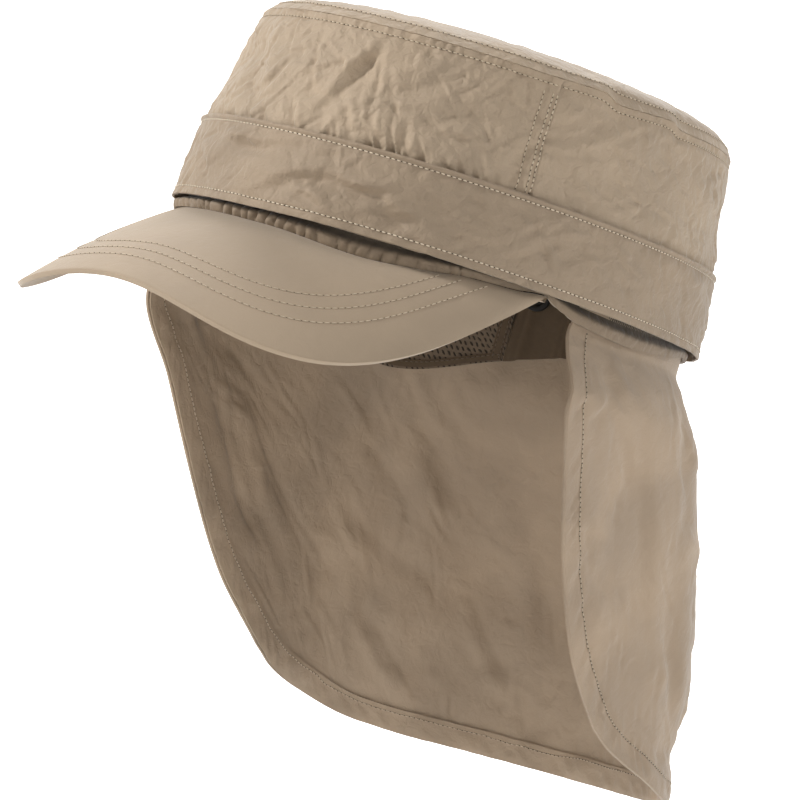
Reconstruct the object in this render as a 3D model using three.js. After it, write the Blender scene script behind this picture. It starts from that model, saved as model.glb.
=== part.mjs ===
import * as THREE from 'three';
import { mergeVertices } from 'three/addons/utils/BufferGeometryUtils.js';

// A soft sun cap with a stiff peak and a long neck flap. Millimetres, +Z up.
// The front points to -Y and the wearer's left is +X. The origin is the middle of the
// head opening, level with the lower edge of the outer band.
// Angles round the cap are degrees from the front, positive towards the wearer's left.

// Head opening, measured over the inner band
const rimHalfWidth = 84;
const rimHalfLength = 103;

// Walls, and the air left between neighbouring pieces
const crownWall = 1.2;
const bandWall = 1.2;
const flapWall = 1.0;
const hemWall = 0.8;
const liningWall = 1.0;
const peakWall = 1.8;
const pieceGap = 0.3;

// Crown
const crownHeight = 70;
const domeRise = 12.2;
const domeBack = 32;
const sideSeamAngle = 56.5;
const sideSeamWidth = 4;
const sideSeamRise = 0.4;
const sideSeamShoulder = 0.6;
const crownCrease = 1.4;

// Outer band
const bandHeight = 29;
const bandFlareSide = 4.6;
const bandFlareEnd = 4.2;
const lipHeight = 3.5;
const lipRise = 0.45;
const lipShoulder = 0.9;
const bandCrease = 1.2;

// Inner band, gathered where it shows over the peak
const innerBandTop = 7.5;
const innerBandDrop = 6.5;
const gatherPitch = 5.5;
const gatherDepth = 0.55;
const gatherFrom = -38;
const gatherTo = 46;

// Lining inside the rim
const liningTop = 16;
const liningDrop = 30;
const casingAngle = 157;
const casingTop = 20;
const casingFoldDepth = 1.6;
const casingFoldCount = 5;

// Peak
const peakReach = 59;
const peakSideInset = 4.6;
const peakEndAngle = 67;
const peakSquareness = 2.8;
const peakSlope = 34.3;
const peakArch = 44;
const peakCamber = 3.8;
const peakRootRise = 3.8;
const peakCornerForward = 6.8;

// Neck flap
const flapDrop = 157;
const flapSkew = 5;
const flapEndAngle = 76;
const flapTuck = 1;
const flapFoldDepth = 2.6;
const hemWidth = 9;
const hemStart = 10;

// Snap stud inside the back of the rim
const studRadius = 5.2;
const studHeight = 2.6;
const studAngle = -161.5;
const studLevel = 8.5;

// Crown outline. up is a share of crownHeight, width and length are shares of the rim's
// half sizes, and back is how far the section's middle sits behind the origin.
const crownSections = [
  { up: 0.0, width: 1.010, length: 0.992, back: 0.000 },
  { up: 0.42, width: 1.018, length: 0.990, back: 0.000 },
  { up: 0.60, width: 0.995, length: 0.974, back: 0.004 },
  { up: 0.80, width: 0.965, length: 0.946, back: 0.014 },
  { up: 1.0, width: 0.940, length: 0.917, back: 0.024 },
];

// Top panel. out is a share of the way from the middle to the top seam, and rise is a share
// of domeRise above that seam. The middle of the dome sits domeBack behind the seam's.
const domeSections = [
  { out: 0.00, rise: 1.00 },
  { out: 0.35, rise: 0.97 },
  { out: 0.62, rise: 0.87 },
  { out: 0.80, rise: 0.72 },
  { out: 0.90, rise: 0.55 },
  { out: 0.965, rise: 0.32 },
  { out: 1.00, rise: 0.00 },
];

// How far the inner band hangs below the rim line, as a share of innerBandDrop.
const innerBandEdge = [
  { angle: -180, drop: 0.40 },
  { angle: -110, drop: 0.75 },
  { angle: -60, drop: 0.60 },
  { angle: -20, drop: 0.58 },
  { angle: 5, drop: 0.68 },
  { angle: 27, drop: 1.00 },
  { angle: 40, drop: 0.77 },
  { angle: 49, drop: 0.42 },
  { angle: 63, drop: 0.55 },
  { angle: 75, drop: 0.92 },
  { angle: 89, drop: 1.08 },
  { angle: 110, drop: 0.70 },
  { angle: 122, drop: 0.30 },
  { angle: 180, drop: 0.40 },
];

// How far the lining hangs below the rim line on either side, as a share of liningDrop.
const liningEdge = [
  { angle: 0, drop: 0.20 },
  { angle: 80, drop: 0.20 },
  { angle: 95, drop: 0.40 },
  { angle: 129, drop: 1.00 },
  { angle: 157, drop: 0.53 },
  { angle: 173, drop: 0.30 },
  { angle: 180, drop: 0.27 },
];

// Neck flap, one row for each level. down is a share of the way from its sewn top to its
// lowest edge. width and reach are shares of the sewn top's half width and half length.
// back, where the middle of the rounded back lies, is a share of rimHalfLength. bow rounds
// the sides in.
const flapSections = [
  { down: 0.000, width: 1.000, reach: 1.000, back: 0.000, bow: 0.50 },
  { down: 0.053, width: 1.000, reach: 1.000, back: 0.000, bow: 0.50 },
  { down: 0.095, width: 1.055, reach: 0.985, back: 0.020, bow: 0.30 },
  { down: 0.196, width: 1.152, reach: 0.936, back: 0.097, bow: 0.02 },
  { down: 0.373, width: 1.099, reach: 0.951, back: 0.291, bow: 0.00 },
  { down: 0.570, width: 1.047, reach: 0.980, back: 0.476, bow: 0.00 },
  { down: 0.747, width: 1.022, reach: 0.887, back: 0.631, bow: 0.00 },
  { down: 0.892, width: 1.002, reach: 0.842, back: 0.738, bow: 0.00 },
  { down: 0.956, width: 1.022, reach: 0.805, back: 0.781, bow: 0.00 },
  { down: 1.000, width: 1.026, reach: 0.798, back: 0.796, bow: 0.00 },
];

// The flap's two front edges: how far each has moved back from its top corner, as a share of
// rimHalfLength.
const flapFrontEdges = [
  { down: 0.000, left: 0.000, right: 0.000 },
  { down: 0.053, left: -0.012, right: -0.012 },
  { down: 0.095, left: -0.072, right: -0.072 },
  { down: 0.196, left: -0.128, right: -0.128 },
  { down: 0.373, left: 0.057, right: 0.068 },
  { down: 0.570, left: 0.276, right: 0.294 },
  { down: 0.747, left: 0.517, right: 0.548 },
  { down: 0.892, left: 0.832, right: 0.848 },
];

// The flap's lower edge, which rises to a rounded corner at each front edge. around is a share
// of the way from the middle of the back to the corner.
const flapHemline = [
  { around: 0.00, down: 1.000 },
  { around: 0.42, down: 1.000 },
  { around: 0.62, down: 0.992 },
  { around: 0.82, down: 0.954 },
  { around: 0.94, down: 0.912 },
  { around: 1.00, down: 0.875 },
];

// Soft folds down the flap. around is a share of the way from the middle of the back to a
// front edge, positive on the wearer's left. depth is a share of flapFoldDepth, and from and
// to are shares of the drop.
const flapFolds = [
  { around: -0.78, width: 0.10, depth: 0.85, from: 0.05, to: 0.75 },
  { around: -0.45, width: 0.14, depth: -1.0, from: 0.20, to: 1.20 },
  { around: -0.12, width: 0.16, depth: 1.15, from: 0.10, to: 1.20 },
  { around: 0.20, width: 0.15, depth: -1.1, from: 0.25, to: 1.20 },
  { around: 0.52, width: 0.12, depth: 0.92, from: 0.05, to: 0.90 },
  { around: 0.80, width: 0.09, depth: -0.77, from: 0.12, to: 0.70 },
];

// Dents and ridges of the crown's soft wall. up, length and width are shares of crownHeight,
// depth is a share of crownCrease, and lean is the slope of the crease in degrees from level.
// A negative depth stands out.
const crownDents = [
  { angle: -20, up: 0.66, lean: -52, length: 0.34, width: 0.09, depth: 1.36 },
  { angle: -36, up: 0.72, lean: 20, length: 0.31, width: 0.10, depth: 1.00 },
  { angle: 2, up: 0.60, lean: 12, length: 0.37, width: 0.09, depth: 1.07 },
  { angle: 28, up: 0.58, lean: -18, length: 0.34, width: 0.09, depth: 0.93 },
  { angle: 20, up: 0.80, lean: 8, length: 0.43, width: 0.10, depth: -0.79 },
  { angle: 74, up: 0.62, lean: 14, length: 0.37, width: 0.10, depth: 1.07 },
  { angle: 92, up: 0.78, lean: -16, length: 0.34, width: 0.10, depth: 0.86 },
  { angle: 118, up: 0.60, lean: 10, length: 0.37, width: 0.10, depth: 0.93 },
  { angle: 160, up: 0.70, lean: -10, length: 0.43, width: 0.11, depth: 1.00 },
  { angle: -90, up: 0.64, lean: 15, length: 0.40, width: 0.10, depth: 1.00 },
  { angle: -130, up: 0.74, lean: -14, length: 0.40, width: 0.11, depth: 0.93 },
];

// Dents of the outer band. up, length and width are shares of bandHeight and depth is a share
// of bandCrease. They fade out at the sewn top.
const bandDents = [
  { angle: -14, up: 0.35, lean: 30, length: 0.69, width: 0.21, depth: 1.25 },
  { angle: 10, up: 0.30, lean: -24, length: 0.76, width: 0.21, depth: -1.08 },
  { angle: 30, up: 0.25, lean: 16, length: 0.69, width: 0.21, depth: 1.17 },
  { angle: 70, up: 0.40, lean: -12, length: 1.03, width: 0.28, depth: -0.75 },
  { angle: 104, up: 0.35, lean: 10, length: 0.90, width: 0.28, depth: 1.00 },
  { angle: -70, up: 0.35, lean: 14, length: 0.97, width: 0.28, depth: 1.00 },
  { angle: -150, up: 0.30, lean: -12, length: 0.97, width: 0.28, depth: 0.92 },
];

// The stud's rounded head, out as a share of studRadius and up as a share of studHeight.
const studProfile = [
  { out: 0, up: 0 },
  { out: 1, up: 0 },
  { out: 1, up: 0.45 },
  { out: 0.82, up: 0.85 },
  { out: 0.45, up: 1 },
  { out: 0, up: 1 },
];

const radians = THREE.MathUtils.degToRad;
const clamp = THREE.MathUtils.clamp;
const smoothstep = THREE.MathUtils.smoothstep;
const lerp = THREE.MathUtils.lerp;

// A smooth curve through one column of a table, with no overshoot between its rows.
function tableCurve(rows, key, column) {
  const at = rows.map((row) => row[key]);
  const value = rows.map((row) => row[column]);
  const step = at.slice(1).map((x, i) => (value[i + 1] - value[i]) / (x - at[i]));
  const slope = at.map((x, i) => {
    if (i === 0) return step[0];
    if (i === at.length - 1) return step[i - 1];
    const product = step[i - 1] * step[i];
    return product <= 0 ? 0 : (2 * product) / (step[i - 1] + step[i]);
  });
  return (where) => {
    const x = clamp(where, at[0], at[at.length - 1]);
    let i = 0;
    while (i < at.length - 2 && x > at[i + 1]) i += 1;
    const run = at[i + 1] - at[i];
    const t = (x - at[i]) / run;
    const a = value[i] * (1 + 2 * t) * (1 - t) ** 2 + value[i + 1] * t * t * (3 - 2 * t);
    const b = slope[i] * run * t * (1 - t) ** 2 - slope[i + 1] * run * t * t * (1 - t);
    return a + b;
  };
}

// A point of an upright elliptic ring, inset towards its middle.
function ringPoint(angle, section, inset = 0) {
  const turn = radians(angle);
  return new THREE.Vector3(
    (section.halfWidth - inset) * Math.sin(turn),
    section.middle - (section.halfLength - inset) * Math.cos(turn),
    section.level,
  );
}

// The sum of the creases in a table at a place on a wall of a given height.
function creaseDepth(dents, angle, level, height, crease) {
  const meanRadius = (rimHalfWidth + rimHalfLength) / 2;
  let depth = 0;
  for (const dent of dents) {
    const turn = THREE.MathUtils.euclideanModulo(angle - dent.angle + 180, 360) - 180;
    const along = radians(turn) * meanRadius;
    const above = level - dent.up * height;
    const lean = radians(dent.lean);
    const onCrease = (along * Math.cos(lean) + above * Math.sin(lean)) / (dent.length * height);
    const offCrease = (above * Math.cos(lean) - along * Math.sin(lean)) / (dent.width * height);
    depth += dent.depth * crease * Math.exp(-(onCrease ** 2) - offCrease ** 2);
  }
  return depth;
}

// A closed wall between an outer and an inner face. Both are functions of a column and a row.
// A round wall joins its last column to its first. Only the cells that keeps() picks are
// built, and each open side of a cell gets an edge face.
function wallGeometry(columns, rows, isRound, outer, inner, keeps = () => true) {
  const column = (i) => (isRound ? (i + columns) % columns : i);
  const isKept = (i, j) => {
    const isInside = j >= 0 && j < rows && (isRound || (i >= 0 && i < columns));
    return isInside && keeps(column(i), j);
  };
  const positions = [];
  const quad = (a, b, c, d) => {
    for (const point of [a, b, c, a, c, d]) positions.push(...point.toArray());
  };
  for (let i = 0; i < columns; i += 1) {
    for (let j = 0; j < rows; j += 1) {
      if (!isKept(i, j)) continue;
      const corners = [[i, j], [column(i + 1), j], [column(i + 1), j + 1], [i, j + 1]];
      const out = corners.map(([m, n]) => outer(m, n));
      const back = corners.map(([m, n]) => inner(m, n));
      const neighbours = [[i, j - 1], [i + 1, j], [i, j + 1], [i - 1, j]];
      quad(...out);
      quad(back[0], back[3], back[2], back[1]);
      neighbours.forEach(([m, n], side) => {
        const next = (side + 1) % 4;
        if (!isKept(m, n)) quad(out[next], out[side], back[side], back[next]);
      });
    }
  }
  return closedGeometry(positions);
}

// Merges points that meet, drops faces that have closed up, and turns the faces outwards.
function closedGeometry(positions) {
  const raw = new THREE.BufferGeometry();
  raw.setAttribute('position', new THREE.Float32BufferAttribute(positions, 3));
  const geometry = mergeVertices(raw, 1e-3);
  const merged = geometry.index.array;
  const points = geometry.attributes.position;
  const kept = [];
  const corners = [new THREE.Vector3(), new THREE.Vector3(), new THREE.Vector3()];
  let volume = 0;
  for (let k = 0; k < merged.length; k += 3) {
    const [a, b, c] = merged.subarray(k, k + 3);
    if (a === b || b === c || c === a) continue;
    kept.push([a, b, c]);
    [a, b, c].forEach((vertex, n) => corners[n].fromBufferAttribute(points, vertex));
    volume += corners[0].dot(corners[1].cross(corners[2])) / 6;
  }
  geometry.setIndex(kept.flatMap(([a, b, c]) => (volume < 0 ? [a, c, b] : [a, b, c])));
  geometry.computeVertexNormals();
  return geometry;
}

// A closed wall made from one face, thickened along that face's own normal.
function thickenedGeometry(columns, rows, surface, wall) {
  const pointAt = (i, j) => surface(i / columns, j / rows);
  const normalAt = (i, j) => {
    const along = pointAt(Math.min(i + 1, columns), j).sub(pointAt(Math.max(i - 1, 0), j));
    const across = pointAt(i, Math.min(j + 1, rows)).sub(pointAt(i, Math.max(j - 1, 0)));
    return along.cross(across).normalize();
  };
  const inner = (i, j) => pointAt(i, j).addScaledVector(normalAt(i, j), -wall);
  return wallGeometry(columns, rows, false, pointAt, inner);
}

function cloth(colour, roughness) {
  return new THREE.MeshStandardMaterial({ color: colour, roughness, metalness: 0 });
}

const capCloth = cloth(0xa5937a, 0.72);
const bandCloth = cloth(0xa28f77, 0.72);
const flapCloth = cloth(0x9c8973, 0.75);
const liningCloth = cloth(0x6f5f4e, 0.85);
const studPlastic = new THREE.MeshStandardMaterial({ color: 0x15120f, roughness: 0.45, metalness: 0 });

function pieceMesh(name, geometry, material) {
  const mesh = new THREE.Mesh(geometry, material);
  mesh.name = name;
  return mesh;
}

// The crown's upright outline at a level.
const crownWidth = tableCurve(crownSections, 'up', 'width');
const crownLength = tableCurve(crownSections, 'up', 'length');
const crownBack = tableCurve(crownSections, 'up', 'back');

function crownSection(level) {
  const up = level / crownHeight;
  return {
    halfWidth: rimHalfWidth * crownWidth(up),
    halfLength: rimHalfLength * crownLength(up),
    middle: rimHalfLength * crownBack(up),
    level,
  };
}

// How far the crown's wall is pushed in at a place. It is held to shape by both seams.
function crownDent(angle, level) {
  const fade = 0.11 * crownHeight;
  const clearOfBand = smoothstep(level, bandHeight, bandHeight + fade);
  const clearOfTop = 1 - smoothstep(level, crownHeight - fade, crownHeight);
  return creaseDepth(crownDents, angle, level, crownHeight, crownCrease) * clearOfBand * clearOfTop;
}

// One upright panel of the crown, from one side seam to the other. The front panel laps
// over the back one, so its edges stand a little proud as a flat felled seam.
function crownPanel(name, fromAngle, toAngle, columns, isLapped) {
  const seamTurn = THREE.MathUtils.radToDeg(sideSeamWidth / rimHalfLength);
  const gapTurn = THREE.MathUtils.radToDeg(pieceGap / 2 / rimHalfLength);
  const shoulderTurn = THREE.MathUtils.radToDeg((sideSeamWidth + sideSeamShoulder) / rimHalfLength);
  const start = fromAngle + gapTurn;
  const end = toAngle - gapTurn;
  const angles = [start, start + seamTurn];
  const plain = columns - 4;
  for (let i = 0; i <= plain; i += 1) {
    angles.push(lerp(start + shoulderTurn, end - shoulderTurn, i / plain));
  }
  angles.push(end - seamTurn, end);
  const rise = (i) => (isLapped && (i < 2 || i > angles.length - 3) ? sideSeamRise : 0);
  const lowest = innerBandTop + pieceGap;
  const highest = crownHeight - pieceGap;
  const shown = bandHeight - lipHeight;
  const rows = 6;
  const levels = [lowest];
  for (let j = 0; j <= rows; j += 1) levels.push(lerp(shown, highest, j / rows));
  const point = (i, j, inset) => {
    const level = levels[j];
    const lapped = level > bandHeight ? rise(i) : 0;
    const push = crownDent(angles[i], level) + inset - lapped;
    return ringPoint(angles[i], crownSection(level), push);
  };
  const geometry = wallGeometry(
    angles.length - 1,
    levels.length - 1,
    false,
    (i, j) => point(i, j, 0),
    (i, j) => point(i, j, crownWall),
  );
  return pieceMesh(name, geometry, capCloth);
}

// The oval top, domed and turned down at its edge to meet the upright panels. The wall's
// sideways part grows towards that edge, where the face turns upright.
function crownTop() {
  const columns = 48;
  const rows = domeSections.length - 1;
  const seam = crownSection(crownHeight);
  const point = (i, j, inset) => {
    const row = domeSections[j];
    const section = {
      halfWidth: seam.halfWidth * row.out,
      halfLength: seam.halfLength * row.out,
      middle: seam.middle + domeBack * (1 - row.out),
      level: crownHeight + domeRise * row.rise - (row.out < 1 ? inset : 0),
    };
    const turnDown = row.out ** 4;
    return ringPoint((360 * i) / columns, section, inset * turnDown);
  };
  const geometry = wallGeometry(
    columns,
    rows,
    true,
    (i, j) => point(i, j, 0),
    (i, j) => point(i, j, crownWall),
  );
  return pieceMesh('crown_top', geometry, capCloth);
}

// The outer band: sewn to the crown along its lip, and standing away from it lower down.
function outerBand() {
  const columns = 60;
  const top = crownSection(bandHeight);
  const seat = pieceGap + bandWall;
  const lipFoot = 1 - (lipHeight + lipShoulder) / bandHeight;
  const shares = [0, lipFoot / 3, (2 * lipFoot) / 3, lipFoot, 1 - lipHeight / bandHeight, 1];
  const point = (i, j, inset) => {
    const angle = (360 * i) / columns;
    const up = shares[j];
    const section = {
      halfWidth: lerp(rimHalfWidth + bandFlareSide, top.halfWidth + seat, up),
      halfLength: lerp(rimHalfLength + bandFlareEnd, top.halfLength + seat, up),
      middle: top.middle * up,
      level: bandHeight * up,
    };
    const dent = creaseDepth(bandDents, angle, section.level, bandHeight, bandCrease) * (1 - up);
    const lip = inset === 0 && j > shares.length - 3 ? lipRise : 0;
    return ringPoint(angle, section, inset + dent - lip);
  };
  const geometry = wallGeometry(
    columns,
    shares.length - 1,
    true,
    (i, j) => point(i, j, 0),
    (i, j) => point(i, j, bandWall),
  );
  return pieceMesh('outer_band', geometry, bandCloth);
}

// How far the inner band's lower edge lies below the rim line.
const innerBandEdgeDrop = tableCurve(innerBandEdge, 'angle', 'drop');
const innerBandLevel = (angle) => -innerBandDrop * innerBandEdgeDrop(angle);

const rimSection = (level) => ({
  halfWidth: rimHalfWidth,
  halfLength: rimHalfLength,
  middle: 0,
  level,
});

// The inner band below the outer one, drawn up in small gathers over the peak.
function innerBand() {
  const meanRadius = (rimHalfWidth + rimHalfLength) / 2;
  const gatherTurn = THREE.MathUtils.radToDeg(gatherPitch / meanRadius);
  const gathers = Math.round((gatherTo - gatherFrom) / gatherTurn);
  const gatherSteps = gathers * 3;
  const plainSteps = 38;
  const gatherFade = 1 / 8;
  const angles = [];
  for (let i = 0; i < gatherSteps; i += 1) angles.push(lerp(gatherFrom, gatherTo, i / gatherSteps));
  for (let i = 0; i < plainSteps; i += 1) {
    angles.push(lerp(gatherTo, gatherFrom + 360, i / plainSteps));
  }
  const rows = 2;
  const gatherOut = (angle, down) => {
    const share = (angle - gatherFrom) / (gatherTo - gatherFrom);
    if (share <= 0 || share >= 1) return 0;
    const wave = (1 - Math.cos(share * gathers * 2 * Math.PI)) / 2;
    return gatherDepth * wave * Math.min(1, share / gatherFade, (1 - share) / gatherFade) * down;
  };
  const point = (i, j, inset) => {
    const angle = angles[i];
    const down = 1 - j / rows;
    const lowest = innerBandLevel(angle > 180 ? angle - 360 : angle);
    const section = rimSection(lerp(innerBandTop, lowest, down));
    return ringPoint(angle, section, inset - gatherOut(angle, down));
  };
  const geometry = wallGeometry(
    angles.length,
    rows,
    true,
    (i, j) => point(i, j, 0),
    (i, j) => point(i, j, bandWall),
  );
  return pieceMesh('inner_band', geometry, bandCloth);
}

// Everything sewn in behind the inner band is set out by its inset from the rim.
const flapInset = bandWall + pieceGap;
const liningInset = flapInset + flapWall + pieceGap;
const liningEdgeDrop = tableCurve(liningEdge, 'angle', 'drop');

// A stretch of lining inside the rim. The fold function pushes it towards the head.
function liningPiece(name, fromAngle, toAngle, columns, top, fold) {
  const rows = 2;
  const point = (i, j, inset) => {
    const angle = lerp(fromAngle, toAngle, i / columns);
    const turn = Math.abs(angle > 180 ? angle - 360 : angle);
    const section = rimSection(lerp(top, -liningDrop * liningEdgeDrop(turn), j / rows));
    return ringPoint(angle, section, liningInset + inset + fold(i / columns));
  };
  const geometry = wallGeometry(
    columns,
    rows,
    false,
    (i, j) => point(i, j, 0),
    (i, j) => point(i, j, liningWall),
  );
  return pieceMesh(name, geometry, liningCloth);
}

function sweatband() {
  const gapTurn = THREE.MathUtils.radToDeg(pieceGap / rimHalfLength);
  const end = casingAngle - gapTurn;
  return liningPiece('sweatband', -end, end, 44, liningTop, () => 0);
}

// The plain piece at the middle of the back, drawn in by its elastic into upright folds.
function casingFold(across) {
  return (casingFoldDepth * (1 - Math.cos(across * casingFoldCount * 2 * Math.PI))) / 2;
}

function backCasing() {
  const columns = casingFoldCount * 5;
  return liningPiece('back_casing', casingAngle, 360 - casingAngle, columns, casingTop, casingFold);
}

// A place on the peak's upper face. across runs from -1 to 1 between its ends, and out from
// 0 at the root to 1 at the outer edge. The outer edge is a squared-off oval in plan that
// slopes down and arches from side to side.
function peakPoint(across, out) {
  const peakHalfWidth = rimHalfWidth - peakSideInset;
  const angle = across * peakEndAngle;
  const turn = (across * Math.PI) / 2;
  const ledge = -(gatherDepth + pieceGap);
  const ledgePoint = ringPoint(angle, rimSection(innerBandLevel(angle) - pieceGap), ledge);
  const cornerY = -rimHalfLength * Math.cos(radians(peakEndAngle)) - peakCornerForward;
  const depth = rimHalfLength + peakReach + cornerY;
  const x = peakHalfWidth * Math.sign(turn) * Math.abs(Math.sin(turn)) ** (2 / peakSquareness);
  const y = cornerY - depth * Math.max(Math.cos(turn), 0) ** (2 / peakSquareness);
  const fall = Math.tan(radians(peakSlope)) * (-y - rimHalfLength);
  const edge = new THREE.Vector3(x, y, peakRootRise - fall - peakArch * (x / peakHalfWidth) ** 2);
  const point = ledgePoint.lerp(edge, out);
  point.z += peakCamber * 4 * out * (1 - out) * Math.sqrt(Math.max(Math.cos(turn), 0));
  return point;
}

// The peak, with a level root tucked under the inner band against the lining.
function peak() {
  const columns = 30;
  const rows = 8;
  const surface = (u, v) => {
    const across = 1 - 2 * u;
    if (v > 0) return peakPoint(across, (v * rows - 1) / (rows - 1));
    const angle = across * peakEndAngle;
    const rootLevel = innerBandLevel(angle) - pieceGap;
    return ringPoint(angle, rimSection(rootLevel), liningInset - pieceGap);
  };
  return pieceMesh('peak', thickenedGeometry(columns, rows, surface, peakWall), capCloth);
}

// The flap's outline at each level
const flapWidth = tableCurve(flapSections, 'down', 'width');
const flapBack = tableCurve(flapSections, 'down', 'back');
const flapReach = tableCurve(flapSections, 'down', 'reach');
const flapBow = tableCurve(flapSections, 'down', 'bow');
const flapFrontLeft = tableCurve(flapFrontEdges, 'down', 'left');
const flapFrontRight = tableCurve(flapFrontEdges, 'down', 'right');
const flapLowest = tableCurve(flapHemline, 'around', 'down');
const flapCorner = flapLowest(1);

// The section of the flap at a level: a rounded back with a side running forward from each
// end of it.
function flapSection(down) {
  return {
    halfWidth: (rimHalfWidth - flapInset) * flapWidth(down),
    reach: (rimHalfLength - flapInset) * flapReach(down),
    middle: rimHalfLength * flapBack(down),
    bow: flapBow(down),
    level: lerp(flapTuck, -flapDrop, down),
  };
}

// How far the section at a level goes round to a front edge, in radians from the back.
function flapHalfTurn(down, isLeft) {
  const section = flapSection(down);
  const corner = -(rimHalfLength - flapInset) * Math.cos(radians(flapEndAngle));
  const frontEdge = corner + rimHalfLength * (isLeft ? flapFrontLeft(down) : flapFrontRight(down));
  const ahead = (section.middle - frontEdge) / section.reach;
  return ahead > 0 ? Math.PI / 2 + ahead : Math.acos(-ahead);
}

function flapFold(around, down) {
  const fade = 0.22;
  let push = 0;
  for (const fold of flapFolds) {
    const fades = smoothstep(down, fold.from, fold.from + fade)
      * (1 - smoothstep(down, fold.to - fade, fold.to));
    const away = (around - fold.around) / fold.width;
    push += fold.depth * flapFoldDepth * fades * Math.exp(-(away ** 2));
  }
  return push;
}

// A place on the flap's outer face. around runs from -1 at one front edge to 1 at the other,
// and share from 0 at the sewn top to 1 at the lower edge, rounded corners and all. The flap
// hangs a little lower on the wearer's right.
function flapPoint(around, share) {
  const down = share * flapLowest(Math.abs(around));
  const section = flapSection(down);
  const turn = around * flapHalfTurn(share * flapCorner, around > 0);
  const push = flapFold(around, down);
  const ahead = Math.max(Math.abs(turn) - Math.PI / 2, 0);
  const round = clamp(turn, -Math.PI / 2, Math.PI / 2);
  const halfWidth = (section.halfWidth + push) * (1 - section.bow * ahead * ahead);
  return new THREE.Vector3(
    halfWidth * Math.sin(round),
    section.middle + (section.reach + push) * Math.cos(round) - section.reach * ahead,
    section.level + flapSkew * around * down ** 2,
  );
}

// The flap's directions round and down its outer face, for a small step of each share.
const flapStep = 0.005;

function flapRound(around, share) {
  const [from, to] = [Math.max(around - flapStep, -1), Math.min(around + flapStep, 1)];
  return flapPoint(to, share).sub(flapPoint(from, share)).divideScalar(to - from);
}

function flapDown(around, share) {
  const [from, to] = [Math.max(share - flapStep, 0), Math.min(share + flapStep, 1)];
  return flapPoint(around, to).sub(flapPoint(around, from)).divideScalar(to - from);
}

function flapNormal(around, share) {
  return flapRound(around, share).cross(flapDown(around, share)).normalize();
}

// The share of the way round that the hem takes up at a front edge. Where the edge slants,
// the share grows so that the hem's true width stays.
function hemAround(share, side) {
  const edge = flapDown(side, share).normalize();
  return hemWidth / edge.cross(flapRound(side, share)).length();
}

// The flap's grid, which its hem shares: shares of the way from the sewn top to the lower
// edge, and the places round each of them.
const flapColumns = 40;
const flapShares = (() => {
  const hemTop = (flapTuck + hemStart) / (flapTuck + flapDrop);
  const hemRow = 1 - hemWidth / (flapTuck + flapDrop);
  const steps = 13;
  const shares = [0, flapSections[1].down];
  for (let j = 0; j <= steps; j += 1) shares.push(lerp(hemTop, hemRow, j / steps));
  shares.push(1);
  return shares;
})();
const hemFirstRow = 2;

function flapGridPoint(i, j, depth) {
  const share = flapShares[j];
  const [right, left] = [hemAround(share, -1) - 1, 1 - hemAround(share, 1)];
  const inside = lerp(right, left, (i - 1) / (flapColumns - 2));
  const around = i === 0 ? -1 : i === flapColumns ? 1 : inside;
  return flapPoint(around, share).addScaledVector(flapNormal(around, share), -depth);
}

function neckFlap() {
  const geometry = wallGeometry(
    flapColumns,
    flapShares.length - 1,
    false,
    (i, j) => flapGridPoint(i, j, 0),
    (i, j) => flapGridPoint(i, j, flapWall),
  );
  return pieceMesh('neck_flap', geometry, flapCloth);
}

// The hem, turned in along the flap's front edges and its lower edge. It lies on the inside
// of the flap and starts clear of the lining.
function flapHem() {
  const rows = flapShares.length - 1;
  const isHem = (i, j) => j >= hemFirstRow && (i === 0 || i === flapColumns - 1 || j === rows - 1);
  const seat = flapWall + pieceGap;
  const geometry = wallGeometry(
    flapColumns,
    rows,
    false,
    (i, j) => flapGridPoint(i, j, seat),
    (i, j) => flapGridPoint(i, j, seat + hemWall),
    isHem,
  );
  return pieceMesh('flap_hem', geometry, flapCloth);
}

// The small dark stud, set on a fold of the back casing and facing the head.
function snapStud() {
  const profile = studProfile.map((row) => new THREE.Vector2(studRadius * row.out, studHeight * row.up));
  const geometry = new THREE.LatheGeometry(profile, 20);
  const seat = liningInset + liningWall + casingFoldDepth + pieceGap;
  const mesh = pieceMesh('snap_stud', geometry, studPlastic);
  mesh.position.copy(ringPoint(studAngle, rimSection(studLevel), seat));
  const turn = radians(studAngle);
  const towardsHead = new THREE.Vector3(
    -Math.sin(turn) / rimHalfWidth,
    Math.cos(turn) / rimHalfLength,
    0,
  ).normalize();
  mesh.quaternion.setFromUnitVectors(new THREE.Vector3(0, 1, 0), towardsHead);
  return mesh;
}

const group = new THREE.Group();
group.add(
  crownTop(),
  crownPanel('crown_front', -sideSeamAngle, sideSeamAngle, 24, true),
  crownPanel('crown_back', sideSeamAngle, 360 - sideSeamAngle, 40, false),
  outerBand(),
  innerBand(),
  sweatband(),
  backCasing(),
  peak(),
  neckFlap(),
  flapHem(),
  snapStud(),
);

export default group;
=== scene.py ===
# %% [markdown]
# # A sun cap with a neck flap
# The cap is thin crinkled nylon: a flat-topped crown, a turned-up band, a stiff peak and a
# long flap. Nearly every piece is a grid laid on a curved surface, creased, and given the
# thickness of its cloth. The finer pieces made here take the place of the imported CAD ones.

from math import cos, pi, radians, sin

import bpy
import numpy as np
from mathutils import Matrix, Vector
from mathutils.bvhtree import BVHTree
from mathutils.kdtree import KDTree


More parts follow.
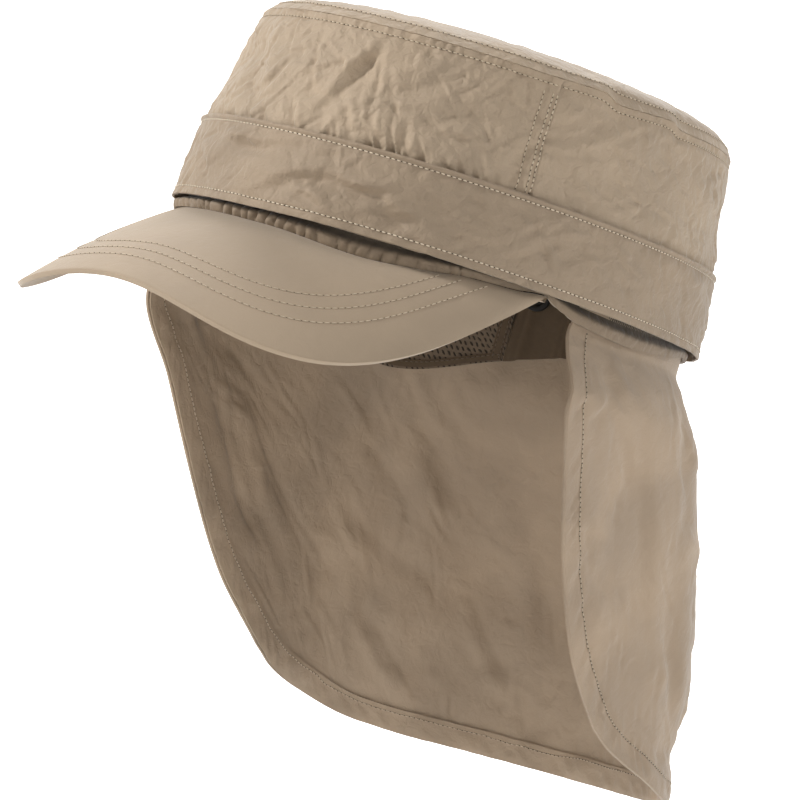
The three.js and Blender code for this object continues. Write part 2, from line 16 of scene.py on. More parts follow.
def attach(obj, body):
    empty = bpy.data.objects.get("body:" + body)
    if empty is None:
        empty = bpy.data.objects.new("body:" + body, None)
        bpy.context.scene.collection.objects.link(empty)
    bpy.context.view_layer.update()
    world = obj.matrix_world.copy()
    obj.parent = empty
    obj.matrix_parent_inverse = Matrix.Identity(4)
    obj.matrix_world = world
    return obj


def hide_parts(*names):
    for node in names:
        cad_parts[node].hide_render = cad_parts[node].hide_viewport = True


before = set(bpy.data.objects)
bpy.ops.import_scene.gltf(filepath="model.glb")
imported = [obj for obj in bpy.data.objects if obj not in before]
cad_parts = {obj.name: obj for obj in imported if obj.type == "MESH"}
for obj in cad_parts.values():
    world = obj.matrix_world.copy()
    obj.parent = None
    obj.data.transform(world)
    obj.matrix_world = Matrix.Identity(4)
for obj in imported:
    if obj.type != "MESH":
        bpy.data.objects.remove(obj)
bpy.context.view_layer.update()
print("CAD nodes:", sorted(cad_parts))

# %% [markdown]
# ## Camera
# The photograph looks at the cap from the wearer's left front, from just below the rim, and is
# tilted. The lens was found by fitting the outlines of the band and the peak. A camera looks
# along its own -Z, so its turn is a matrix whose columns are its right, its up and its back.

# %% The camera
VIEW_TURN, VIEW_RISE, VIEW_ROLL = radians(38), radians(-3.88), radians(16.67)
VIEW_DISTANCE, LENS = 1.6, 206.6
TARGET_RIGHT, TARGET_UP = -0.01314, -0.04209
level_ahead = Vector((sin(VIEW_TURN), -cos(VIEW_TURN), 0))
toward = level_ahead * cos(VIEW_RISE) + Vector((0, 0, sin(VIEW_RISE)))
level_right = Vector((cos(VIEW_TURN), sin(VIEW_TURN), 0))
level_up = toward.cross(level_right)
view_right = level_right * cos(VIEW_ROLL) + level_up * sin(VIEW_ROLL)
view_up = level_up * cos(VIEW_ROLL) - level_right * sin(VIEW_ROLL)
target = view_right * TARGET_RIGHT + view_up * TARGET_UP


def choose(*pieces):
    """Selects these objects alone, or nothing, and makes the first one active."""
    bpy.ops.object.select_all(action="DESELECT")
    for piece in pieces:
        piece.select_set(True)
    if pieces:
        bpy.context.view_layer.objects.active = pieces[0]


def call_it(name):
    """Names the object that an operator has just made, and its data, and returns it."""
    made = bpy.context.object
    made.name = made.data.name = name
    return made


choose()
bpy.ops.object.camera_add(location=toward * VIEW_DISTANCE)
camera = bpy.context.object
back = (camera.location - target).normalized()
side = view_up.cross(back).normalized()
camera.rotation_euler = Matrix((side, back.cross(side), back)).transposed().to_euler()
camera.data.lens = LENS
camera.data.clip_start = 0.05
bpy.context.scene.camera = camera
print("camera at", [round(v, 3) for v in camera.location])

# %% [markdown]
# ## Sizes and tables
# These repeat the CAD source's sizes in millimetres, because this script can't read that file.
# Angles go round the cap in degrees from the front, positive towards the wearer's left. A
# table holds a few chosen sections, and a smooth curve runs through each of its columns.

# %% Sizes
MM = 0.001
RIM_WIDTH, RIM_LENGTH = 84, 103  # half sizes of the head opening
CROWN_HEIGHT, DOME_RISE, DOME_BACK, CROWN_WALL = 70, 12.2, 32, 1.2
SIDE_SEAM, SEAM_STRIP, SEAM_RISE = 56.5, 4.6, 0.4
BAND_HEIGHT, BAND_FLARE_SIDE, BAND_FLARE_END, BAND_WALL = 29, 4.6, 4.2, 1.2
INNER_TOP, INNER_DROP = 7.5, 6.5
LINING_TOP, LINING_DROP, LINING_INSET, LINING_WALL = 16, 30, 2.8, 1.0
CASING_ANGLE, CASING_TOP, CASING_FOLD, CASING_FOLDS = 157, 20, 1.6, 5
PEAK_REACH, PEAK_WIDTH, PEAK_END, PEAK_SQUARE = 59, 79.4, 67, 2.8
PEAK_SLOPE, PEAK_ARCH, PEAK_CAMBER, PEAK_ROOT = 34.3, 44, 3.8, 3.8
PEAK_CORNER, PEAK_LEDGE, PEAK_WALL = 6.8, 0.85, 1.8
FLAP_DROP, FLAP_SKEW, FLAP_END, FLAP_TUCK, FLAP_INSET, FLAP_WALL = 157, 5, 76, 1, 1.5, 1.0
HEM_WIDTH, HEM_WALL, FLAP_FOLD = 9, 0.8, 2.6
STUD_RADIUS, STUD_HEIGHT, STUD_ANGLE, STUD_LEVEL = 5.2, 2.6, -161.5, 10.0
GAP = 0.3
GIRTH = pi * (RIM_WIDTH + RIM_LENGTH)


def table(columns, *rows):
    """Rows of numbers under named columns."""
    return dict(zip(columns.split(), np.array(rows, float).T))


CROWN = table(
    "up width length back",
    (0, 1.01, 0.992, 0), (0.42, 1.018, 0.99, 0), (0.6, 0.995, 0.974, 0.004),
    (0.8, 0.965, 0.946, 0.014), (1, 0.94, 0.917, 0.024),
)
DOME = table(
    "out rise",
    (0, 1), (0.35, 0.97), (0.62, 0.87), (0.8, 0.72), (0.9, 0.55), (0.965, 0.32), (1, 0),
)
INNER_EDGE = table(
    "angle drop",
    (-180, 0.4), (-110, 0.75), (-60, 0.6), (-20, 0.58), (5, 0.68), (27, 1), (40, 0.74),
    (49, 0.42), (60, 0.26), (66, 0.06), (70, 0.45), (76, 0.88), (89, 1.08), (110, 0.7),
    (122, 0.3), (180, 0.4),
)
LINING_EDGE = table(
    "angle drop",
    (0, 0), (72, 0), (95, 0.4), (129, 1), (157, 0.53), (173, 0.3), (180, 0.27),
)
FLAP = table(
    "down width reach back bow",
    (0, 1, 1, 0, 0.5), (0.053, 1, 1, 0, 0.5), (0.095, 1.055, 0.985, 0.02, 0.3),
    (0.196, 1.152, 0.936, 0.097, 0.02), (0.373, 1.099, 0.951, 0.291, 0), (0.57, 1.047, 0.98, 0.476, 0),
    (0.747, 1.022, 0.887, 0.631, 0), (0.892, 1.002, 0.842, 0.738, 0), (0.956, 1.022, 0.805, 0.781, 0),
    (1, 1.026, 0.798, 0.796, 0),
)
FLAP_FRONT = table(
    "down left right",
    (0, 0, 0), (0.053, -0.012, -0.012), (0.095, -0.052, -0.072), (0.196, -0.092, -0.128),
    (0.373, 0.062, 0.068), (0.57, 0.27, 0.296), (0.747, 0.485, 0.56), (0.892, 0.755, 0.888),
)
HEMLINE = table(
    "around down",
    (0, 1), (0.42, 1), (0.62, 0.992), (0.82, 0.954), (0.94, 0.918), (1, 0.88),
)
# How far the top seam wanders up or down where its stitches have drawn it up
SEAM_WANDER = table(
    "angle rise",
    (-180, 0), (-140, 0.5), (-135, -0.5), (-90, 0.2), (-84, -0.4), (-40, 0), (5, 0.2), (50, 0.2),
    (67, 1.1), (71, -1.1), (80, -0.1), (87, 0.8), (91, -0.9), (108, 0), (150, 0.6), (156, -0.4), (180, 0),
)


def curve_through(rows, column):
    """A smooth curve through a table's first column and another one, with no overshoot."""
    at, value = next(iter(rows.values())), rows[column]
    run = np.diff(at)
    step = np.diff(value) / run
    product, total = step[:-1] * step[1:], step[:-1] + step[1:]
    inner = np.where(product > 0, 2 * product / np.where(product > 0, total, 1), 0)
    slope = np.concatenate([step[:1], inner, step[-1:]])

    def curve(where):
        x = np.clip(where, at[0], at[-1])
        i = np.clip(np.searchsorted(at, x, side="right") - 1, 0, len(at) - 2)
        t = (x - at[i]) / run[i]
        rest = 1 - t
        ends = value[i] * (1 + 2 * t) * rest**2 + value[i + 1] * t * t * (3 - 2 * t)
        return ends + run[i] * t * rest * (slope[i] * rest - slope[i + 1] * t)

    return curve


def curves(rows):
    """A curve for each of a table's columns after the first."""
    return [curve_through(rows, column) for column in list(rows)[1:]]


print("tables:", len(FLAP["down"]), "flap sections,", len(CROWN["up"]), "crown sections")

# %% [markdown]
# ## Laying a sheet
# A sheet starts as a grid one unit square. A function says where each pair of its
# shares, across and up, lies on the cap. The grid's UV map is stretched to the sheet's real
# size, so a weave keeps one scale on every piece. The sheet is only its outer face at first. A
# search tree of that face is kept, because stitches and hems are laid on it later. Solidify
# then gives the cloth its thickness, towards the head.

# %% Laying and thickening
faces = {}  # the search tree of each sheet's outer face


def co_of(mesh):
    """The places of a mesh's vertices, one row to each."""
    places = np.empty(len(mesh.vertices) * 3)
    mesh.vertices.foreach_get("co", places)
    return places.reshape(-1, 3)


def in_edit_mode(work):
    """Runs an edit-mode operator on the whole of the active mesh."""
    bpy.ops.object.mode_set(mode="EDIT")
    bpy.ops.mesh.select_all(action="SELECT")
    work()
    bpy.ops.object.mode_set(mode="OBJECT")


def lay_sheet(name, across, up, surface, size):
    """A grid laid on surface(u, v). That and size, the sheet's width and height, are in millimetres."""
    choose()
    bpy.ops.mesh.primitive_grid_add(x_subdivisions=across, y_subdivisions=up, size=1)
    piece = call_it(name + "_sheet")
    shares = co_of(piece.data)[:, :2] + 0.5
    piece.data.vertices.foreach_set("co", (surface(shares[:, 0], shares[:, 1]) * MM).ravel())
    layer = piece.data.uv_layers[0].data
    uv = np.empty(len(layer) * 2)
    layer.foreach_get("uv", uv)
    layer.foreach_set("uv", (uv.reshape(-1, 2) * np.array(size) * MM).ravel())
    in_edit_mode(lambda: bpy.ops.mesh.remove_doubles(threshold=1e-6))
    piece.data.update()
    polygons = [tuple(p.vertices) for p in piece.data.polygons]
    faces[name] = BVHTree.FromPolygons([v.co for v in piece.data.vertices], polygons)
    return piece


def apply_modifier(piece, kind, **settings):
    """Adds a modifier with its settings, and makes its result the mesh."""
    choose(piece)
    modifier = piece.modifiers.new(kind.lower(), kind)
    for key, value in settings.items():
        setattr(modifier, key, value)
    bpy.ops.object.modifier_apply(modifier=modifier.name)


def thicken(piece, wall, edge=0.0):
    """Gives a sheet its thickness towards its back, and rounds its edges."""
    apply_modifier(piece, "SOLIDIFY", thickness=wall * MM, offset=-1)
    if edge:
        apply_modifier(piece, "BEVEL", width=edge * MM, segments=2, limit_method="ANGLE",
                       angle_limit=radians(62))
    bpy.ops.object.shade_smooth_by_angle(angle=radians(55))
    print(piece.name, len(piece.data.polygons), "faces, size in mm",
          [round(v * 1000, 1) for v in piece.dimensions])


def stand_in(piece, node):
    """Puts a piece in the place of its CAD node, on the cap's one body."""
    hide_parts(node)
    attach(piece, "root")


# %% [markdown]
# ## Creases, lumps and puckers
# Crinkled nylon has three kinds of relief. A fold is a valley with a low swell along one side.
# Lumps are soft and have no direction. Puckers are the short ridges across a seam whose thread
# has drawn the cloth up. Each is a function of the place on the flat cloth, and the random ones
# come from seeds, so each run is alike.

# %% Relief
FOLD = "x y lean length width depth"


def scatter(seed, count, *spans):
    """Random folds, with each column of FOLD drawn from its span."""
    draw = np.random.default_rng(seed).uniform
    return {name: draw(low, high, count) for name, (low, high) in zip(FOLD.split(), spans)}


def press(x, y, folds, wrap=GIRTH):
    """How deep the folds press into the cloth. x repeats after wrap, unless that is 0."""
    deep = np.zeros_like(x)
    for i, (fx, fy, lean, length, width, depth) in enumerate(zip(*folds.values())):
        dx, dy = x - fx, y - fy
        if wrap:
            dx = (dx + wrap / 2) % wrap - wrap / 2
        along = (dx * cos(radians(lean)) + dy * sin(radians(lean))) / length
        off = (dy * cos(radians(lean)) - dx * sin(radians(lean))) / width
        off = off + (0.7 if i % 2 else -0.7) * along**2
        near = (np.abs(along) < 2.3) & (np.abs(off) < 4)
        a, o = along[near], off[near]
        deep[near] += depth * np.exp(-a * a) * (np.exp(-o * o) - 0.5 * np.exp(-((o - 1.7) ** 2)))
    return deep


def lumps(x, y, seed, wrap=256):
    """Smooth bumps from -1 to 1, one to each unit of x and y. x repeats after wrap units."""
    lattice = np.random.default_rng(seed).uniform(-1, 1, (256, 64))
    i, j = np.floor(x).astype(int), np.floor(y).astype(int)
    s, t = x - i, y - j
    s, t = s * s * (3 - 2 * s), t * t * (3 - 2 * t)
    near, far = i % wrap, (i + 1) % wrap
    low, high = (lattice[near, k % 64] * (1 - s) + lattice[far, k % 64] * s for k in (j, j + 1))
    return low * (1 - t) + high * t


def puckers(x, away, pitch, reach, seed, girth=GIRTH):
    """Short ridges across a seam, fading with the distance from it."""
    count = round(girth / pitch)
    ridge = lumps(x / girth * count, away / reach * 0.4, seed, count)
    return (2 * np.abs(ridge) - 0.6) * np.exp(-np.clip(away, 0, None) / reach)


def step(x, low, high):
    """0 below low, 1 above high, smooth from one to the other."""
    t = np.clip((x - low) / (high - low), 0, 1)
    return t * t * (3 - 2 * t)


def bump(x, middle, width):
    """1 at the middle, fading on both sides."""
    return np.exp(-(((x - middle) / width) ** 2))


def signed(angle):
    """The same angle between -180 and 180."""
    return (angle + 180) % 360 - 180


def around(angle):
    """Millimetres round the cap from the front."""
    return (angle + 180) % 360 / 360 * GIRTH - GIRTH / 2


def ring(angle, half_width, half_length, middle, level):
    """Places on a level oval whose middle lies that far back."""
    turn = np.radians(angle)
    ahead = half_length * np.cos(turn)
    return np.stack([half_width * np.sin(turn), middle - ahead, level + 0 * turn], -1)


# %% [markdown]
# ## Crown
# The crown is an upright wall in two panels and a domed top. The front panel laps over the back
# one in a flat felled seam at each temple. Both panels read one relief function, so a crease
# runs on across the seam. The large creases are placed where the photograph shows them, and
# small ones are scattered between.

# %% Crown relief
crown_width, crown_length, crown_back = curves(CROWN)
CROWN_STITCH = 2.8  # how far below the top seam its stitches run
seam_wander = curve_through(SEAM_WANDER, "rise")
CROWN_FOLDS = table(
    FOLD,
    (19, 50, 65, 19, 2.2, 1.6), (18, 54, 50, 8, 1.6, 0.9), (-17, 44, 46, 6, 1.6, 0.9),
    (23, 55, 47, 9, 4.5, 1.2), (44, 52, 29, 11, 3.5, 1.2), (57, 46, 30, 11, 3.2, 1),
    (26, 31, -48, 6, 1.6, 0.8), (36, 32, -19, 8, 1.6, 0.8), (46, 32, -68, 7, 1.7, 1.3),
    (0, 34, -55, 6, 1.7, 1), (-50, 53, -8, 17, 5, 1), (113, 66, -29, 6, 1.6, 0.8),
    (147, 67, -3, 9, 1.6, 0.8), (149, 55, 4, 24, 9, 0.9), (-33, 46, -52, 24, 6, 1.5),
    (-59, 50, 20, 22, 7, 1.2), (3, 42, 12, 26, 6, 1.1), (121, 43, 14, 26, 7, 1.2),
    (193, 42, 10, 26, 7, 1.3), (261, 49, -10, 30, 8, 1.4), (-147, 45, 15, 28, 7, 1.4),
    (-212, 52, -14, 28, 8, 1.3), (-100, 38, 35, 12, 3, 0.9), (85, 40, 62, 9, 2.4, 0.9),
)
ALL_ROUND = (-GIRTH / 2, GIRTH / 2)
crown_crinkles = scatter(11, 700, ALL_ROUND, (26, 70), (-80, 80), (2.5, 11), (0.7, 1.7), (0.20, 0.64))
crown_swells = scatter(12, 70, ALL_ROUND, (30, 66), (-60, 60), (8, 18), (3.0, 6), (-0.7, 0.8))


def crown_press(angle, level):
    x = around(angle)
    loose = step(level, 27, 35) * (1 - step(level, 61, 69))
    relief = press(x, level, CROWN_FOLDS) + press(x, level, crown_swells)
    relief = relief * (0.3 + 0.7 * loose) + press(x, level, crown_crinkles) * (0.5 + 0.5 * loose)
    front = 0.7 + 0.5 * bump(x, 0, 60) + 1.5 * bump(x, 46, 30)
    above, below = np.abs(level - BAND_HEIGHT), CROWN_HEIGHT - level
    fine = puckers(x + 0.5 * above, above, 2.7, 4.2, 13) * 0.75
    relief += front * (fine + puckers(x - 0.5 * above, above, 6, 9, 16) * 0.4)
    return relief + (puckers(x, below, 3.6, 3.8, 14) * 0.55 + 0.40 * bump(below, CROWN_STITCH, 0.7))


def crown_point(angle, level, out=0.0):
    up = level / CROWN_HEIGHT
    shift = seam_wander(signed(angle)) * step(level, CROWN_HEIGHT - 9, CROWN_HEIGHT - 1)
    push = crown_press(angle, level) - out
    return ring(angle, RIM_WIDTH * crown_width(up) - push, RIM_LENGTH * crown_length(up) - push,
                RIM_LENGTH * crown_back(up), level + shift)


# %% Crown panels
CROWN_LOW, CROWN_TOP = INNER_TOP + GAP, CROWN_HEIGHT - GAP


def crown_panel(name, start, end, columns, rows, lapped):
    start, end = start + 0.08, end - 0.08

    def surface(u, v):
        angle = start + (end - start) * u
        level = CROWN_LOW + (CROWN_TOP - CROWN_LOW) * v
        to_edge = np.radians(np.minimum(angle - start, end - angle)) * RIM_LENGTH
        strip = (1 - step(to_edge, SEAM_STRIP - 0.6, SEAM_STRIP + 0.6)) * SEAM_RISE * step(level, 28, 31)
        pinch = 0.22 * bump(to_edge, SEAM_STRIP + 1.3, 0.8) + 0.15 * bump(to_edge, 2.4, 0.6)
        rumple = puckers(level, to_edge, 4.2, 6.5, 15, 70) * 0.6 * step(level, 30, 36)
        return crown_point(angle, level, (strip - pinch if lapped else 0) - rumple)

    piece = lay_sheet(name, columns, rows, surface, (radians(end - start) * 93, CROWN_TOP - CROWN_LOW))
    thicken(piece, CROWN_WALL)
    stand_in(piece, name)
    return piece


crown_front = crown_panel("crown_front", -SIDE_SEAM, SIDE_SEAM, 300, 90, True)
crown_back_panel = crown_panel("crown_back", SIDE_SEAM, 360 - SIDE_SEAM, 380, 66, False)

# %% [markdown]
# The top is an oval sheet that turns down at its edge to meet the wall. Its grid is wrapped
# round a middle point, with the rows packed towards the edge, where the bend and puckers are.

# %% Crown top
dome_rise = curve_through(DOME, "rise")
top_crinkles = scatter(21, 300, (-76, 76), (-90, 100), (-90, 90), (4, 16), (1.1, 3.0), (0.12, 0.50))
top_swells = scatter(22, 26, (-70, 70), (-80, 95), (-90, 90), (12, 30), (5, 11), (-0.8, 0.9))
SEAM_SIZES = RIM_WIDTH * crown_width(1.0), RIM_LENGTH * crown_length(1.0), RIM_LENGTH * crown_back(1.0)
TOP_RUN = 90  # millimetres from the middle of the top to its seam


def top_point(angle, out):
    half_width, half_length, middle = SEAM_SIZES
    centre = middle + DOME_BACK * (1 - out)
    flat = ring(angle, half_width * out, half_length * out, centre, 0)
    relief = press(*flat.T[:2], top_crinkles, 0) + press(*flat.T[:2], top_swells, 0)
    relief *= 1 - step(out, 0.93, 1.0)
    away = (1 - out) * TOP_RUN
    relief += puckers(around(angle), away, 4.3, 6.5, 23) * 0.5 * (1 - 0.6 * step(out, 0.985, 1))
    relief += 0.25 * bump(away, 2.2, 0.7)
    edge = out**8
    shift = seam_wander(signed(angle)) * step(out, 0.94, 1)
    level = CROWN_HEIGHT + DOME_RISE * dome_rise(out) + shift - relief * (1 - edge)
    return ring(angle, half_width * out - relief * edge, half_length * out - relief * edge, centre, level)


top = lay_sheet("crown_top", 360, 46, lambda u, v: top_point(360 * u, 1 - v**1.4), (GIRTH * 0.8, 85))
thicken(top, CROWN_WALL)
stand_in(top, "crown_top")

# %% [markdown]
# ## Outer band
# The band is turned up round the crown and sewn along its top. Its upper edge is a narrow
# rolled fold with a stitched groove below it, and its lower edge stands clear of the head.

# %% Outer band
BAND_FOLDS = table(
    FOLD,
    (-12, 19, 2, 14, 2.2, 1.7), (16, 12, 15, 13, 2.6, 2.2), (39, 13, 8, 9, 2, 1.8),
    (19, 7, -14, 8, 1.8, 1.4), (49, 9, -28, 7, 2.2, 1.3), (-38, 12, -37, 9, 2.2, 1),
    (-23, 10, 30, 20, 6, 1.2), (16, 9, -24, 22, 6, -1), (49, 7, 16, 20, 6, 1.1),
    (114, 12, -12, 30, 8, -0.7), (170, 10, 10, 26, 8, 1), (-114, 10, 14, 28, 8, 1.1),
    (-245, 9, -12, 28, 8, 1), (160, 20, 2, 22, 4, 0.5), (75, 16, 75, 8, 2.4, 0.5),
)
BAND_STITCH, BAND_HEM_STITCH, BAND_STAND = BAND_HEIGHT - 1.9, 2.8, 1.5
band_crinkles = scatter(31, 330, ALL_ROUND, (2, 25), (-65, 65), (2.5, 11), (0.8, 1.9), (0.12, 0.50))
band_swells = scatter(32, 44, ALL_ROUND, (3, 24), (-40, 40), (8, 18), (2.6, 5), (-0.6, 0.7))


def band_point(angle, level):
    x = around(angle)
    relief = press(x, level, BAND_FOLDS) + press(x, level, band_swells)
    relief = (relief + press(x, level, band_crinkles)) * (1 - step(level, 22, 27))
    relief += puckers(x, BAND_STITCH - level, 3.4, 4.0, 33) * 0.6 * (1 - step(level, 26.4, 27.2))
    relief += puckers(x, level, 4.5, 4.0, 34) * 0.3
    relief += 0.5 * bump(level, BAND_STITCH, 0.55) + 0.35 * bump(level, BAND_HEM_STITCH, 0.6)
    roll = 0.34 * np.sqrt(np.clip(1 - ((level - 28.3) / 0.72) ** 2, 0, 1))
    relief -= roll * (1 + 0.35 * lumps(x / 2.4, 0 * x, 35))
    wave = 0.35 * lumps(x / GIRTH * 12, 0 * x, 36, 12) * (1 - step(level, 0, 14))

    def half_size(rim, flare, crown):
        """Half a width or length of the band, from its flared foot to where it meets the crown."""
        meets = rim * crown(BAND_HEIGHT / CROWN_HEIGHT) + BAND_STAND
        return rim + flare + (meets - rim - flare) * level / BAND_HEIGHT - relief

    width = half_size(RIM_WIDTH, BAND_FLARE_SIDE, crown_width)
    return ring(angle, width, half_size(RIM_LENGTH, BAND_FLARE_END, crown_length), 0 * x, level + wave)


def band_face(u, v):
    return band_point(360 * u, BAND_HEIGHT * (1 - (1 - v) ** 1.25))


band = lay_sheet("outer_band", 720, 44, band_face, (GIRTH, BAND_HEIGHT))
thicken(band, 0.75 * BAND_WALL, 0.2)
stand_in(band, "outer_band")

# %% [markdown]
# ## Inner band
# Below the outer band a narrower one shows. Over the peak it is drawn up into small uneven
# gathers, with a dark gap above them whose darkness is partly painted shade in the colour,
# and at the sides it is smoother with a soft wave.

# %% Inner band
inner_edge = curve_through(INNER_EDGE, "drop")
inner_crinkles = scatter(46, 260, ALL_ROUND, (0, 7), (-90, 90), (1.5, 5), (0.7, 1.4), (0.08, 0.35))


def inner_point(angle, up):
    x, side = around(angle), signed(angle)
    lowest = -INNER_DROP * inner_edge(side)
    gathered = step(side, -62, -45) * (1 - step(side, 44, 58))
    drift = 2.4 * lumps(x / 9, 0 * x, 43) + 1.6 * lumps(x / 11, up * 2, 44)
    pillow = np.sqrt(np.abs(np.sin((x + drift + 2.6 * up) * pi / 4.9)))
    low = step(1 - up, 0.56, 0.78)
    roll = np.sqrt(np.clip(1 - ((up - 0.2) / 0.23) ** 2, 0, 1))
    gathers = (2.1 + 0.6 * lumps(x / 8, 0 * x, 45)) * pillow * roll - 0.5
    plain_cloth = 0.4 * lumps(x / 14, up, 42) + 0.4 * roll
    out = gathered * gathers * low + (1 - gathered) * plain_cloth * low
    out += 2.1 * bump(side, -50, 24) * low - 1.5 * step(up, 0.20, 0.44)
    out -= press(x, 12 * up, inner_crinkles) * low
    level = lowest + (INNER_TOP - lowest) * up - 0.25 * gathered * pillow * (1 - step(up, 0, 0.3))
    return ring(angle, RIM_WIDTH + out, RIM_LENGTH + out, 0 * x, level)


inner = lay_sheet("inner_band", 900, 18, lambda u, v: inner_point(360 * u, v), (GIRTH, 12))
thicken(inner, BAND_WALL)
stand_in(inner, "inner_band")

# %% [markdown]
# ## Peak
# A stiff sheet covered in cloth. Its outer edge is a squared-off oval seen from above, which
# slopes down and arches from side to side. Its root is tucked under the inner band. Its edges
# are rounded, so the light catches a fine rim.

# %% Peak
peak_corner = -RIM_LENGTH * cos(radians(PEAK_END)) - PEAK_CORNER
peak_depth = RIM_LENGTH + PEAK_REACH + peak_corner


def peak_oval(turn, inset=0.0):
    """The peak's outer edge seen from above, or a line that far inside it."""
    x = (PEAK_WIDTH - inset) * np.sign(turn) * np.abs(np.sin(turn)) ** (2 / PEAK_SQUARE)
    ahead = np.clip(np.cos(turn), 0, 1)
    return x, peak_corner - (peak_depth - inset) * ahead ** (2 / PEAK_SQUARE)


def peak_point(across, out):
    angle = across * PEAK_END
    level = -INNER_DROP * inner_edge(angle) - GAP
    tucked = LINING_INSET - GAP
    ledge = ring(angle, RIM_WIDTH + PEAK_LEDGE, RIM_LENGTH + PEAK_LEDGE, 0 * angle, level)
    root = ring(angle, RIM_WIDTH - tucked, RIM_LENGTH - tucked, 0 * angle, level)
    turn = across * pi / 2
    ahead = np.clip(np.cos(turn), 0, 1)
    x, y = peak_oval(turn)
    z = PEAK_ROOT - np.tan(radians(PEAK_SLOPE)) * (-y - RIM_LENGTH) - PEAK_ARCH * (x / PEAK_WIDTH) ** 2
    share = np.clip(out, 0, 1)[:, None]
    edge = np.stack([x, y, z], -1)
    pull = np.abs(across) ** 10
    edge += np.stack([-1.3 * np.sign(across) * pull, 6.4 * pull, 1.5 * pull], -1)
    point = ledge * (1 - share) + edge * share
    tuck = np.clip(-out / 0.06, 0, 1)[:, None]
    point = point * (1 - tuck) + root * tuck
    point[:, 2] += PEAK_CAMBER * 4 * share[:, 0] * (1 - share[:, 0]) * np.sqrt(ahead)
    waviness = 0.10 * lumps(point[:, 0] / 22 + 9, point[:, 1] / 16, 51)
    point[:, 2] += waviness * share[:, 0] * (1 - tuck[:, 0])
    return point


# The grid's first row is the outer edge, and the surface's own turn puts the outer face up.
peak = lay_sheet("peak", 240, 56, lambda u, v: peak_point(2 * u - 1, 1 - 1.06 * v), (160, 60))
thicken(peak, PEAK_WALL, 0.45)
stand_in(peak, "peak")

# %% [markdown]
# ## Neck flap
# The flap is one long sheet that hangs from the rim, round both sides and the back. Its hem
# keeps it in form, so its shape is laid from the photograph's outline: a few level
# sections, two front edges and a lower edge with rounded corners. Big soft folds run down it,
# and crinkles are pressed in along its own normal, which two short steps on the surface give.

# %% Flap surface
flap_width, flap_reach, flap_back, flap_bow = curves(FLAP)
front_left, front_right = curves(FLAP_FRONT)
hemline = curve_through(HEMLINE, "down")
FLAP_CORNER = float(hemline(1.0))
FLAP_DRAPE = table(
    "around width depth start end",
    (-0.78, 0.1, 0.85, 0.05, 0.75), (-0.45, 0.14, -1, 0.2, 1.2), (-0.12, 0.16, 1.15, 0.1, 1.2),
    (0.2, 0.15, -1.1, 0.25, 1.2), (0.52, 0.12, 0.92, 0.05, 0.9), (0.8, 0.09, -0.77, 0.12, 0.7),
)


def flap_base(round_share, share):
    down = share * hemline(np.abs(round_share))
    half_width = (RIM_WIDTH - FLAP_INSET) * flap_width(down)
    reach = (RIM_LENGTH - FLAP_INSET) * flap_reach(down)
    middle = RIM_LENGTH * flap_back(down)
    edge = share * FLAP_CORNER
    corner = -(RIM_LENGTH - FLAP_INSET) * cos(radians(FLAP_END))
    front = corner + RIM_LENGTH * np.where(round_share > 0, front_left(edge), front_right(edge))
    ahead = (RIM_LENGTH * flap_back(edge) - front) / ((RIM_LENGTH - FLAP_INSET) * flap_reach(edge))
    turn = round_share * np.where(ahead > 0, pi / 2 + ahead, np.arccos(np.clip(-ahead, -1, 1)))
    push = 0 * share
    for place, width, depth, start, end in zip(*FLAP_DRAPE.values()):
        fades = step(down, start, start + 0.22) * (1 - step(down, end - 0.22, end))
        push = push + depth * FLAP_FOLD * fades * bump(round_share, place, width)
    past = np.maximum(np.abs(turn) - pi / 2, 0)
    bent = np.clip(turn, -pi / 2, pi / 2)
    return np.stack([
        (half_width + push) * (1 - flap_bow(down) * past**2) * np.sin(bent),
        middle + (reach + push) * np.cos(bent) - reach * past,
        FLAP_TUCK - (FLAP_TUCK + FLAP_DROP) * down + FLAP_SKEW * round_share * down**2,
    ], -1)


def unit(vectors):
    """The same directions, one unit long."""
    return vectors / np.maximum(np.linalg.norm(vectors, axis=-1, keepdims=True), 1e-9)


def flap_normal(round_share, share):
    e = 0.005
    low, high = np.clip(round_share - e, -1, 1), np.clip(round_share + e, -1, 1)
    upper, lower = np.clip(share - e, 0, 1), np.clip(share + e, 0, 1)
    along = flap_base(high, share) - flap_base(low, share)
    down = flap_base(round_share, lower) - flap_base(round_share, upper)
    return unit(np.cross(along, down))


# %% Flap relief
FLAP_HALF = 235


def spread(points):
    """How far along a line of points each one lies."""
    return np.concatenate([[0], np.cumsum(np.linalg.norm(np.diff(points, axis=0), axis=1))])


# The border runs down the left edge, along the hem and up the right edge, in shares of the flap.
edge_down = np.linspace(0, 1, 160)
edge_path = [(1, s) for s in edge_down] + [(1 - 2 * t, 1) for t in np.linspace(0.003, 0.997, 400)]
edge_path = np.array(edge_path + [(-1, s) for s in edge_down[::-1]])
edge_points = flap_base(*edge_path.T)
edge_along = spread(edge_points)
edge_tree = KDTree(len(edge_points))
for index, point in enumerate(edge_points):
    edge_tree.insert(point, index)
edge_tree.balance()
FLAP_FOLDS = table(
    FOLD,
    (205, 132, 38, 12, 3, 1.6), (190, 112, 60, 14, 4, 1.2), (214, 120, -35, 9, 2.6, 0.9),
    (176, 92, 80, 26, 6, 1.3), (150, 60, 84, 30, 8, 1.2), (-205, 118, -50, 14, 4, 1.2),
    (-180, 70, -75, 26, 7, 1.4), (-140, 44, 65, 24, 7, 1.3), (-90, 80, 74, 30, 9, 1.5),
    (-40, 60, -80, 34, 9, 1.4), (20, 90, 82, 30, 9, 1.4), (80, 70, -72, 30, 8, 1.3),
    (-120, 20, -35, 18, 5, 1.2), (-60, 24, 30, 16, 5, 1.1), (110, 24, 35, 18, 5, 1.1),
    (60, 128, 10, 24, 5, 1),
)
